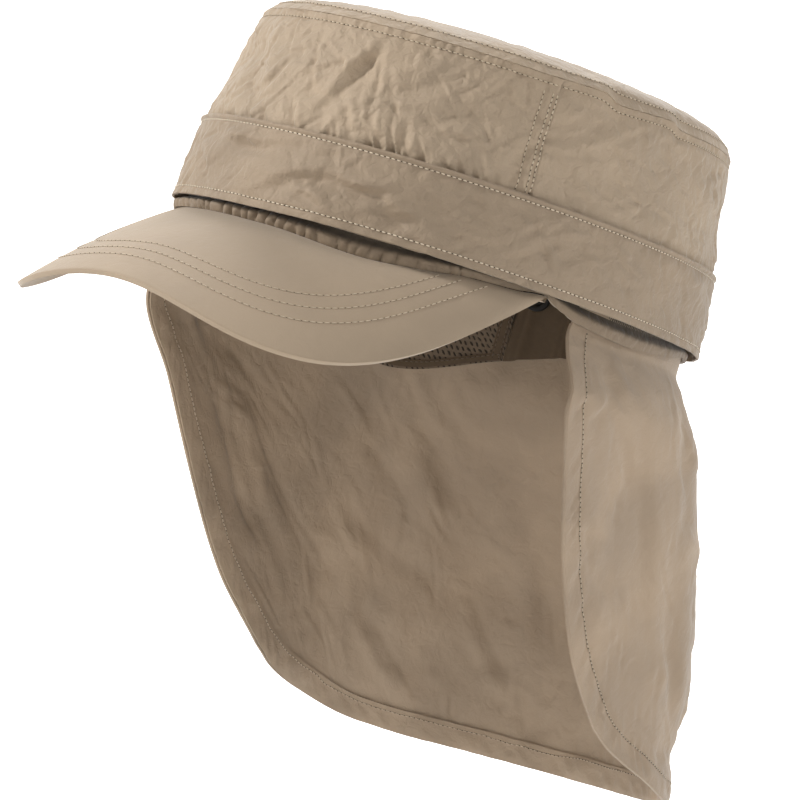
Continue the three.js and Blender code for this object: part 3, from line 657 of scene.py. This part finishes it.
WHOLE_FLAP = (-FLAP_HALF, FLAP_HALF)
HEM_STITCH = HEM_WIDTH - 1.2
flap_swells = scatter(61, 120, WHOLE_FLAP, (6, 150), (-90, 90), (9, 24), (3.5, 8.0), (-1.2, 1.3))
flap_crinkles = scatter(62, 620, WHOLE_FLAP, (4, 154), (-90, 90), (3, 14), (1.0, 2.4), (0.10, 0.48))


def flap_point(round_share, share):
    base = flap_base(round_share, share)
    found = [edge_tree.find(point) for point in base]
    along, away = edge_along[[f[1] for f in found]], np.array([f[2] for f in found])
    x, y = round_share * FLAP_HALF, FLAP_DROP * (1 - share)
    inside = step(away, HEM_WIDTH - 2, HEM_WIDTH + 5)
    relief = press(x, y, FLAP_FOLDS, 0) + press(x, y, flap_swells, 0)
    relief = relief * inside + press(x, y, flap_crinkles, 0) * (0.12 + 0.88 * inside) * step(away, 0, 2)
    relief += puckers(along + 0.7 * away, np.abs(away - 5.5), 5.2, 5.0, 63, 900) * 0.75 * step(away, 0, 3.5)
    relief += 0.35 * bump(away, HEM_STITCH, 1.0)
    return base - (relief * step(share, 0.05, 0.16))[:, None] * flap_normal(round_share, share)


# %% Flap sheet
# u runs from the wearer's left edge to the right one, so that the outer face looks outwards.
flap_size = 2 * FLAP_HALF, FLAP_DROP
flap = lay_sheet("neck_flap", 350, 102, lambda u, v: flap_point(1 - 2 * u, 1 - v), flap_size)
thicken(flap, FLAP_WALL, 0.2)
stand_in(flap, "neck_flap")

# %% [markdown]
# ## Strips laid on a sheet
# A hem, a tape or a row of stitches follows a line on a sheet that is already creased. Each
# point of the line goes to the nearest place on the sheet, with the direction that the sheet
# faces there. That is what Shrinkwrap does to a whole mesh.

# %% Strips
def soften(rows, passes):
    """Rows of numbers smoothed along a line, with both ends kept."""
    rows = rows.copy()
    for _ in range(passes):
        rows[1:-1] = (rows[:-2] + 2 * rows[1:-1] + rows[2:]) / 4
    return rows


def nearest(tree, points):
    """The nearest place on a sheet to each point, and the sheet's own direction there."""
    found = [tree.find_nearest(Vector(p) * MM) for p in points]
    return np.array([f[0] for f in found]) / MM, np.array([f[1] for f in found])


def evenly(points, spacing):
    """The same line with its points a fixed distance apart."""
    along = spread(points)
    at = np.linspace(0, along[-1], max(2, int(round(along[-1] / spacing)) + 1))
    return np.stack([np.interp(at, along, column) for column in points.T], -1)


def lay_strip(name, tree, border, inward, width, depth, wall, rows=6, ripple=0.0):
    """A strip of cloth along a border, facing away from the sheet's face and lying depth behind it.
    ripple is the height of its gathers."""
    count = len(border)
    places, facing = [], []
    for w in np.linspace(0.35, width, rows + 1):
        on, normal = nearest(tree, border + inward * w)
        on, normal = soften(on, 3), unit(soften(normal, 24))
        wave = np.abs(lumps(spread(on) / 2.6 + 0.35 * w, 0 * on[:, 0] + w / 14, 64))
        deep = depth + ripple * wave * step(w, 0, 2) * (1 - bump(w, HEM_STITCH + 0.4, 1.6))
        places.append(on - normal * np.reshape(deep, (-1, 1)))
        facing.append(normal)
    places = np.array(places)

    def surface(u, v):
        i, j = np.rint(v * rows).astype(int), np.rint(u * (count - 1)).astype(int)
        return places[i, j]

    strip = lay_sheet(name, count - 1, rows, surface, (count * 1.5, width))
    some = list(strip.data.polygons)[::37]
    if depth * np.mean([np.dot(p.normal, tree.find_nearest(p.center)[1]) for p in some]) > 0:
        in_edit_mode(bpy.ops.mesh.flip_normals)
    thicken(strip, wall)
    return strip


def border_of(path, spacing=1.5):
    """A flap border as even points, with the direction across it into the sheet."""
    line = flap_base(*path.T)
    across = soften(unit(np.cross(flap_normal(*path.T), np.gradient(line, axis=0))), 40)
    along = spread(line)
    at = np.linspace(0, along[-1], int(along[-1] / spacing))
    columns = [np.interp(at, along, column) for rows in (line, across) for column in rows.T]
    line, across = np.stack(columns[:3], -1), unit(np.stack(columns[3:], -1))
    return line, across * np.sign(np.median((across * (line.mean(0) - line)).sum(1)))


flap_border, flap_inward = border_of(edge_path[8:-8])
hem = lay_strip("flap_hem", faces["neck_flap"], flap_border, flap_inward, HEM_WIDTH,
                FLAP_WALL + HEM_WALL + 0.04, HEM_WALL, rows=8, ripple=0.9)
stand_in(hem, "flap_hem")

# %% [markdown]
# ## Lining
# Inside the rim a mesh lining runs round the front and sides, and a plain casing with an
# elastic closes the middle of the back in upright folds. A tape binds the mesh where it ends.

# %% Lining pieces
lining_drop = curve_through(LINING_EDGE, "drop")


def lining_point(angle, up, top_level, fold=0.0):
    low = -LINING_DROP * lining_drop(np.abs(signed(angle)))
    level = low + (top_level - low) * up
    return ring(angle, RIM_WIDTH - LINING_INSET - fold, RIM_LENGTH - LINING_INSET - fold, 0 * angle, level)


def sweat_point(angle, up):
    x = around(angle)
    give = 0.35 * (lumps(x / 17, up * 2, 71) + 1) * bump(up, 0.5, 0.35) * 2
    return lining_point(angle, up, LINING_TOP, give)


def casing_point(share, up):
    angle = 360 - CASING_ANGLE - (360 - 2 * CASING_ANGLE) * share
    wave = (1 - np.cos((share + 0.025 * np.sin(share * 17)) * CASING_FOLDS * 2 * pi)) / 2
    return lining_point(angle, up, CASING_TOP, 1.5 * CASING_FOLD * wave**2.2 * (0.7 + 0.3 * up))


# These two face the head, so u runs the other way round and the thickness grows outwards.
SWEAT_END = CASING_ANGLE - 0.2
sweat_size = 2 * radians(SWEAT_END) * 91, 38
sweat = lay_sheet("sweatband", 300, 26, lambda u, v: sweat_point(SWEAT_END * (1 - 2 * u), v), sweat_size)
casing = lay_sheet("back_casing", 120, 22, casing_point, (90, 34))
for piece, node, slot in ((sweat, "sweatband", "lining_mesh"), (casing, "back_casing", "lining_cloth")):
    for vertex in piece.data.vertices:
        vertex.co.xy *= 1 - LINING_WALL * MM / vertex.co.xy.length
    thicken(piece, LINING_WALL)
    stand_in(piece, node)

# %% [markdown]
# ## Snap stud
# A small black stud sits on a fold of the casing and faces the head. It is a cylinder with a
# bevelled rim, whose face is inset into a shallow dish. A matrix moves its mesh to its place,
# so that its object stays at the origin.

# %% Snap stud
choose()
bpy.ops.mesh.primitive_cylinder_add(vertices=40, radius=STUD_RADIUS * MM, depth=STUD_HEIGHT * MM,
                                    location=(0, 0, STUD_HEIGHT * MM / 2))
stud = call_it("stud_turned")
bpy.ops.object.transform_apply(location=True)
bpy.ops.object.mode_set(mode="EDIT")
bpy.ops.mesh.select_mode(type="FACE")
bpy.ops.mesh.select_all(action="DESELECT")
bpy.ops.object.mode_set(mode="OBJECT")
for face in stud.data.polygons:
    face.select = face.normal.z > 0.9
bpy.ops.object.mode_set(mode="EDIT")
bpy.ops.mesh.inset(thickness=1.7 * MM, depth=0)
bpy.ops.mesh.inset(thickness=0.35 * MM, depth=-0.5 * MM)
bpy.ops.object.mode_set(mode="OBJECT")
apply_modifier(stud, "BEVEL", width=0.55 * MM, segments=3, limit_method="ANGLE", angle_limit=radians(40))
bpy.ops.object.shade_smooth_by_angle(angle=radians(40))
turn = radians(STUD_ANGLE)
inset = LINING_INSET + LINING_WALL + CASING_FOLD + GAP
seat = Vector(((RIM_WIDTH - inset) * sin(turn), -(RIM_LENGTH - inset) * cos(turn), STUD_LEVEL)) * MM
to_head = Vector((-sin(turn) / RIM_WIDTH, cos(turn) / RIM_LENGTH, 0)).normalized()
stud.data.transform(Matrix.Translation(seat) @ to_head.to_track_quat("Z", "Y").to_matrix().to_4x4())
stand_in(stud, "snap_stud")
print("stud seat in mm", [round(v * 1000, 1) for v in seat])

# %% [markdown]
# ## Stitches
# A stitch is a short thread and, after it, a small flat mark for its needle hole, whose dark
# colour is painted shade. The pair is modelled once. Array repeats it along the length of a guide
# curve, and Curve bends the row to that line. Every seam is then a list of points on its sheet,
# lifted a little so that half of the thread stands out.

# %% Stitch rows
STITCH_PITCH, STITCH_LENGTH, THREAD = 1.9, 1.35, 0.56


def one_stitch(pitch, length, thread):
    """A stitch along X and, after it, a small mark where the needle went through, whose dark colour is
    painted shade. Their UV tells the material which is which.
    """
    made = []
    for middle, size, thread_share in ((pitch / 2, (length, thread, thread * 0.85), 1.0),
                                       (0.02, (0.55 * thread + 0.12, thread * 0.85, 0.34), 0.0)):
        choose()
        bpy.ops.mesh.primitive_uv_sphere_add(segments=6, ring_count=4, radius=MM / 2,
                                             rotation=(0, pi / 2, 0))
        ball = bpy.context.object
        bpy.ops.object.transform_apply(rotation=True)
        ball.data.transform(Matrix.Translation((middle * MM, 0, 0)) @ Matrix.Diagonal((*size, 1)))
        layer = ball.data.uv_layers[0].data
        layer.foreach_set("uv", [thread_share] * (2 * len(layer)))
        made.append(ball)
    choose(*made)
    bpy.ops.object.join()
    return made[0]


def stitch_row(tree, points, lift=0.14, pitch=STITCH_PITCH, length=STITCH_LENGTH, thread=THREAD):
    """A row of stitches on a sheet along a line of points. A negative lift puts it on the sheet's back."""
    on, normal = nearest(tree, evenly(points, 0.8))
    line = (soften(on, 3) + unit(soften(normal, 60 if lift < 0 else 6)) * lift) * MM
    guide = bpy.data.objects.new("guide", bpy.data.curves.new("guide", "CURVE"))
    guide.data.dimensions = "3D"
    spline = guide.data.splines.new("POLY")
    spline.points.add(len(line) - 1)
    spline.points.foreach_set("co", np.concatenate([line, np.ones((len(line), 1))], 1).ravel())
    bpy.context.scene.collection.objects.link(guide)
    row = one_stitch(pitch, length, thread)
    total = np.linalg.norm(np.diff(line, axis=0), axis=1).sum()
    apply_modifier(row, "ARRAY", count=int(total / (pitch * MM)), use_relative_offset=False,
                   use_constant_offset=True, constant_offset_displace=(pitch * MM, 0, 0))
    apply_modifier(row, "CURVE", object=guide, deform_axis="POS_X")
    bpy.data.objects.remove(guide)
    return row


def gather_rows(name, rows):
    """Joins rows of stitches into one piece."""
    choose(*rows)
    bpy.ops.object.join()
    piece = call_it(name)
    bpy.ops.object.shade_smooth()
    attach(piece, "root")
    print(name, len(piece.data.polygons), "faces")
    return piece


full_turn = np.linspace(-180, 180, 721)

# %% Band stitches
band_rows = [stitch_row(faces["outer_band"], band_point(full_turn, level + 0 * full_turn))
             for level in (BAND_STITCH, BAND_HEM_STITCH)]
band_stitches = gather_rows("band_stitches", band_rows)

# %% Crown stitches
TOP_STITCH = 2.3
crown_rows = []
for sheet, start, end in (("crown_front", -SIDE_SEAM + 0.4, SIDE_SEAM - 0.4),
                          ("crown_back", SIDE_SEAM + 0.4, 360 - SIDE_SEAM - 0.4)):
    turn = np.linspace(start, end, 400)
    seam = crown_point(turn, CROWN_HEIGHT - CROWN_STITCH + 0 * turn)
    crown_rows.append(stitch_row(faces[sheet], seam))
seam = top_point(full_turn, 1 - TOP_STITCH / TOP_RUN + 0 * full_turn)
crown_rows.append(stitch_row(faces["crown_top"], seam))
upright = np.linspace(BAND_HEIGHT + 0.8, CROWN_HEIGHT - 4.5, 40)
for sign in (-1, 1):
    for inset in (0.8, 2.6, 6.2):
        angle = sign * (SIDE_SEAM - np.degrees(inset / RIM_LENGTH)) + 0 * upright
        crown_rows.append(stitch_row(faces["crown_front"], crown_point(angle, upright, SEAM_RISE)))
crown_stitches = gather_rows("crown_stitches", crown_rows)

# %% [markdown]
# The peak's rows run parallel to its outer edge, so each starts as the same squared-off oval
# drawn smaller. Only the part that lies ahead of the inner band is kept.

# %% Peak stitches
PEAK_ROWS, ROW_CLEAR = (9.8, 14.4, 19.0), 1.4  # from the edge inwards, and from the rim outwards
peak_rows = []
for inset in PEAK_ROWS:
    x, y = peak_oval(np.linspace(-pi / 2, pi / 2, 500), inset)
    ahead = (x / (RIM_WIDTH + ROW_CLEAR)) ** 2 + (y / (RIM_LENGTH + ROW_CLEAR)) ** 2 > 1
    hits = [faces["peak"].ray_cast(Vector((px * MM, py * MM, 0.1)), Vector((0, 0, -1)))
            for px, py in zip(x[ahead], y[ahead])]
    line = np.array([hit[0] for hit in hits if hit[0]]) / MM
    peak_rows.append(stitch_row(faces["peak"], line, pitch=2.5, length=1.85, thread=0.42))
peak_stitches = gather_rows("peak_stitches", peak_rows)

# %% [markdown]
# The flap's hem is sewn all along, and its thread shows on both sides. The row is the flap's
# border moved across the hem, once on the outer face and once on the hem's own.

# %% Flap stitches
hem_line = flap_border + flap_inward * HEM_STITCH
flap_rows = [
    stitch_row(faces["neck_flap"], hem_line),
    stitch_row(faces["neck_flap"], hem_line, lift=-(FLAP_WALL + HEM_WALL + 0.1)),
]
flap_stitches = gather_rows("flap_stitches", flap_rows)

# %% Lining tape and stitches
TAPE_WALL, UP = 0.4, np.array([0, 0, 1.0])
mesh_face = faces["sweatband"]
lining_rows, tapes = [], []
for hand, sign in (("right", -1), ("left", 1)):
    edge = np.linspace(0.02, 0.96, 40)
    upright_line = evenly(sweat_point(sign * (SWEAT_END - 0.4) + 0 * edge, edge), 1.5)
    forwards = unit(np.cross(nearest(mesh_face, upright_line)[1], UP))
    forwards *= -np.sign(forwards[:, 1].sum())
    hem_turn = np.linspace(80, SWEAT_END - 0.5, 130) * sign
    low_line = evenly(sweat_point(hem_turn, 0.01 + 0 * hem_turn), 1.5)
    upwards = np.tile(UP, (len(low_line), 1))
    for label, line, across, width, shares in (("upright", upright_line, forwards, 4.2, (0.2, 0.8)),
                                               ("low", low_line, upwards, 3.2, (0.75,))):
        tape = lay_strip(f"lining_tape_{label}_{hand}", mesh_face, line, across, width,
                         -(LINING_WALL + TAPE_WALL + 0.05), TAPE_WALL, rows=3)
        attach(tape, "root")
        tapes.append(tape)
        for share in shares:
            lining_rows.append(stitch_row(mesh_face, line + across * width * share,
                                          lift=LINING_WALL + TAPE_WALL + 0.1, thread=0.4))
lining_stitches = gather_rows("lining_stitches", lining_rows)

# %% [markdown]
# ## Finishes
# The nodes of a material are written as sums. Wire holds a node's output and lets Python's own
# operators add Math nodes, so `1 - mask` works on a socket. Finish holds one material and adds
# any other node. The Bump node's distance is one millimetre, so heights are in millimetres.

# %% Shader helpers
class Wire:
    """An output socket with Python's arithmetic."""

    def __init__(self, finish, socket):
        self.finish, self.socket = finish, socket

    def math(self, operation, *values):
        return self.finish.add("Math", {"operation": operation}, dict(enumerate(values)))

    def __add__(self, other):
        return self.math("ADD", self, other)

    def __sub__(self, other):
        return self.math("SUBTRACT", self, other)

    def __rsub__(self, other):
        return self.math("SUBTRACT", other, self)

    def __mul__(self, other):
        return self.math("MULTIPLY", self, other)

    def __pow__(self, other):
        return self.math("POWER", self, other)

    def __abs__(self):
        return self.math("ABSOLUTE", self)

    def sine(self):
        return self.math("SINE", self)

    def between(self, low, high):
        """0 below low, 1 above high, smooth from one to the other."""
        return self.finish.add("MapRange", {"interpolation_type": "SMOOTHSTEP"}, {0: self, 1: low, 2: high})

    __radd__, __rmul__ = __add__, __mul__


class Finish:
    """One material. add() puts in any node and returns one of its outputs."""

    def __init__(self, name, colour, **constants):
        self.material = bpy.data.materials.new(name)
        self.material.use_nodes = True
        self.material.diffuse_color = (*colour, 1)
        self.tree = self.material.node_tree
        self.shader = self.tree.nodes["Principled BSDF"]
        for key, value in constants.items():
            self.shader.inputs[key.replace("_", " ").title().replace("Ior", "IOR")].default_value = value

    def add(self, kind, settings=None, values=None, output=0):
        node = self.tree.nodes.new("ShaderNode" + kind)
        for key, value in (settings or {}).items():
            setattr(node, key, value)
        for key, value in (values or {}).items():
            self.put(node.inputs[key], value)
        return Wire(self, node.outputs[output])

    def put(self, socket, value):
        if isinstance(value, Wire):
            self.tree.links.new(value.socket, socket)
        else:
            socket.default_value = value

    def parts(self, vector):
        """The X, Y and Z of a vector."""
        node = self.add("SeparateXYZ", {}, {0: vector}).socket.node
        return [Wire(self, socket) for socket in node.outputs]

    def uv(self):
        """The place on the piece's own UV map, in metres of cloth."""
        return self.add("TexCoord", output=2)

    def place(self):
        """The place in the object, in metres."""
        return self.add("TexCoord", output=3)

    def noise(self, place, scale, detail=2.0, rough=0.5, twist=0.0):
        return self.add("TexNoise", {}, {"Vector": place, "Scale": scale, "Detail": detail,
                                         "Roughness": rough, "Distortion": twist})

    def mix(self, share, first, second):
        return self.add("Mix", {"data_type": "RGBA"}, {0: share, 6: first, 7: second}, output=2)

    def relief(self, height):
        """Height in millimetres."""
        self.put(self.shader.inputs["Normal"], self.add("Bump", {}, {"Distance": MM, "Height": height}))

    def on(self, *pieces):
        for piece in pieces:
            piece.data.materials.clear()
            piece.data.materials.append(self.material)
        return self


def shade(colour, share):
    return (*(min(1, c * share) for c in colour), 1)


# %% [markdown]
# ## Crinkled nylon
# The cloth is matt with a slight sheen. Its crinkle is a net of fine creases: the place where a
# noise passes its middle value is a thin line, which makes a good crease. A plain weave of
# threads half a millimetre apart lies over it. The colour drifts in soft patches, and worn
# creases are paler. The inner band's colour is a darker copy of the same nylon, and above its
# gathers it is painted much darker still. Both are painted shade, where the outer band keeps the light from
# it.

# %% Nylon finish
THREAD_PITCH = 0.0005


def nylon(name, colour, crinkle=1.0, grain=1.0, drift=1.0, painted_shade_span=None):
    cloth = Finish(name, colour, sheen_weight=0.2, sheen_roughness=0.4, specular_ior_level=0.42)
    place = cloth.place()
    u, v = cloth.parts(cloth.uv())[:2]
    wide = cloth.noise(place, 95, 2, 0.5, 0.4)
    fine = cloth.noise(place, 260, 2, 0.55, 0.5)
    lines = 1 - (abs(wide - 0.5) * 9).between(0, 1)
    thin_lines = 1 - (abs(fine - 0.5) * 7).between(0, 1)
    soft = cloth.noise(place, 150, 3, 0.55)
    threads = (u * (2 * pi / THREAD_PITCH)).sine() * (v * (2 * pi / THREAD_PITCH)).sine()
    speck = cloth.noise(place, 2600, 1, 0.5)
    creases = soft * (0.42 * crinkle) - lines * (0.19 * crinkle) - thin_lines * (0.11 * crinkle)
    cloth.relief(creases + threads * (0.010 * grain) + speck * (0.05 * grain))
    patches = cloth.noise(place, 24, 3, 0.55, 0.6)
    dark, pale = shade(colour, 1 - 0.08 * drift), shade(colour, 1 + 0.07 * drift)
    drifted = cloth.mix(patches.between(0.3, 0.7), dark, pale)
    worn = cloth.mix(lines * (0.10 * crinkle), drifted, shade(colour, 1.25))
    shown = cloth.mix((speck - 0.35) * (0.5 * grain), worn, shade(colour, 0.80))
    # Above this span of the UV height the colour turns dark: painted shade for the outer band's shadow.
    if painted_shade_span:
        shown = cloth.mix(v.between(*painted_shade_span), shown, shade(colour, 0.3))
    cloth.put(cloth.shader.inputs["Base Color"], shown)
    cloth.put(cloth.shader.inputs["Roughness"], 0.66 + patches * 0.14)
    return cloth


CAP_COLOUR = (0.345, 0.263, 0.180)
BAND_COLOUR = (0.284, 0.214, 0.145)
FLAP_COLOUR = (0.322, 0.240, 0.163)
# The inner band's colour is a darker copy of the same nylon: painted shade for the shade under the outer
# band.
INNER_SHADED_COLOUR = (0.225, 0.166, 0.109)
nylon("cap_nylon", CAP_COLOUR).on(crown_front, crown_back_panel, top)
nylon("band_nylon", BAND_COLOUR, 0.9).on(band)
nylon("inner_nylon_painted_shade", INNER_SHADED_COLOUR, 0.7, painted_shade_span=(0.0022, 0.0042)).on(inner)
nylon("peak_nylon", CAP_COLOUR, 0.18, 0.8, 0.6).on(peak)
nylon("flap_nylon", FLAP_COLOUR, 0.45, 1.0, 1.6).on(flap, hem)

# %% [markdown]
# The lining mesh is an open knit: rows of short slanting holes, each row half a step along from
# the last. The holes are dips in a paler ground, and their dark colour is painted shade for the
# openings. A sine each way makes the cells, and the slant comes from adding a little of one direction to
# the other.

# %% Lining, thread and stud finishes
KNIT_WIDTH, KNIT_HEIGHT = 0.0019, 0.0040


def knit(name, colour):
    cloth = Finish(name, colour, sheen_weight=0.1, specular_ior_level=0.3, roughness=0.85)
    flat = cloth.uv()
    u, v = cloth.parts(flat)[:2]
    stray = cloth.noise(flat, 260, 1) * 0.0012
    across, along = u + v * 0.7 + stray, v - u * 0.7
    columns = abs((across * (pi / KNIT_WIDTH)).sine()) ** 3
    rows = abs((along * (pi / KNIT_HEIGHT) + across * (pi / (2 * KNIT_WIDTH))).sine())
    hole_dips_and_shade = (columns * rows).between(0.35, 0.7)
    cloth.relief(hole_dips_and_shade * -0.3 + cloth.noise(flat, 1500, 1) * 0.10)
    # The holes' dark colour is painted shade for the openings of the knit. The dips themselves are real
    # relief.
    cloth.put(cloth.shader.inputs["Base Color"], cloth.mix(hole_dips_and_shade, shade(colour, 1.0), shade(colour, 0.25)))
    return cloth


def plain(name, colour, rough, grain, scale):
    """A plain finish whose grain also varies its colour a little."""
    made = Finish(name, colour, specular_ior_level=0.35)
    speck = made.noise(made.place(), scale, 3, 0.6)
    made.relief(speck * grain)
    made.put(made.shader.inputs["Base Color"], made.mix(speck, shade(colour, 0.82), shade(colour, 1.15)))
    made.put(made.shader.inputs["Roughness"], rough + speck * 0.12)
    return made


def sewing(name, colour, rough=0.42, painted_hole_shade=0.1):
    """Thread, and a mark where the needle went through after each stitch, whose dark colour is painted
    shade. The stitches' UV is 1 on a thread and 0 on a mark.
    """
    made = Finish(name, colour, specular_ior_level=0.6)
    mark = made.parts(made.uv())[0]
    speck = made.noise(made.place(), 900, 2)
    thread = made.mix(speck, shade(colour, 0.85), shade(colour, 1.15))
    # The needle-hole marks get a dark colour: painted shade for the hollow of each hole.
    made.put(made.shader.inputs["Base Color"], made.mix(mark, shade((0.35, 0.25, 0.16), painted_hole_shade), thread))
    made.put(made.shader.inputs["Roughness"], 0.9 - mark * (0.9 - rough))
    return made


knit("lining_knit", (0.165, 0.122, 0.083)).on(sweat)
plain("lining_plain", (0.105, 0.072, 0.043), 0.75, 0.12, 420).on(casing, *tapes)
sewing("thread", (0.70, 0.60, 0.46)).on(band_stitches)
sewing("flap_thread", (0.42, 0.335, 0.24)).on(flap_stitches)
sewing("crown_thread", (0.54, 0.44, 0.315), painted_hole_shade=0.2).on(crown_stitches)
sewing("peak_thread", (0.54, 0.44, 0.32), painted_hole_shade=0.35).on(peak_stitches)
sewing("lining_thread", (0.14, 0.10, 0.066), 0.6).on(lining_stitches)
plain("stud_black", (0.010, 0.009, 0.008), 0.5, 0.02, 900).on(stud)
print("materials:", sorted(m.name for m in bpy.data.materials))

# %% [markdown]
# ## Stage and light
# The photograph has a plain white ground and a soft light from the upper left. The stage is one
# wide sheet, a flat floor that curves up all round, so that no edge or horizon shows in any
# view. It glows behind the cap, which makes the ground white there. Four far lamps light the
# cap: the key lamp from the left gives the form, one from the right and one from above and
# behind lift the shaded sides, and a weak one in front softens the shadows. The pale world
# lights the rest.

# %% Stage
FLOOR, STAGE, STAGE_RISE, STAGE_BEND = -0.34, 7.5, 2.3, 3.4  # metres
choose()
bpy.ops.mesh.primitive_grid_add(x_subdivisions=90, y_subdivisions=90, size=2 * STAGE)
stage = call_it("backdrop")
places = co_of(stage.data)
away = np.linalg.norm(places[:, :2], axis=1)
places[:, 2] = FLOOR + STAGE_RISE * step(away, STAGE_BEND, STAGE) ** 1.2
stage.data.vertices.foreach_set("co", places.ravel())
bpy.ops.object.shade_smooth()
ground = Finish("pale_ground", (0.95, 0.95, 0.95), roughness=0.9, specular_ior_level=0.1)
ground.shader.inputs["Base Color"].default_value = (0.72, 0.72, 0.72, 1)
ground.shader.inputs["Emission Strength"].default_value = 1.0
spot_x, spot_y = ground.parts(ground.place())[:2]
along = spot_x * (-toward.x) + spot_y * (-toward.y)
glow = along.between(1.2, 4.2) * 0.75 + 0.2
ground.put(ground.shader.inputs["Emission Color"], ground.mix(glow, (0, 0, 0, 1), (1, 1, 1, 1)))
ground.on(stage)

# %% Light
world = bpy.data.worlds.new("pale_sky")
bpy.context.scene.world = world
world.use_nodes = True
sky = world.node_tree.nodes["Background"].inputs
sky["Color"].default_value, sky["Strength"].default_value = (1, 1, 1, 1), 0.24

# Where each lamp stands, how wide it looks in degrees, which softens its shadows, and its strength
for name, to_right, to_camera, up, wide, strength in (
    ("key_lamp", -1.35, 0.22, 1.02, 11, 2.9), ("right_lamp", 1.45, 0.05, 0.75, 24, 0.82),
    ("back_lamp", 0, -1.2, 1.5, 28, 2.4), ("front_lamp", -0.5, 2.4, -0.1, 40, 0.24),
):
    place = view_right * to_right + toward * to_camera + Vector((0, 0, up))
    choose()
    bpy.ops.object.light_add(type="SUN", location=place)
    lamp = call_it(name)
    lamp.data.angle, lamp.data.energy = radians(wide), strength
    lamp.rotation_euler = (place * -1).to_track_quat("-Z", "Y").to_euler()
bpy.context.scene.view_settings.view_transform = "Standard"
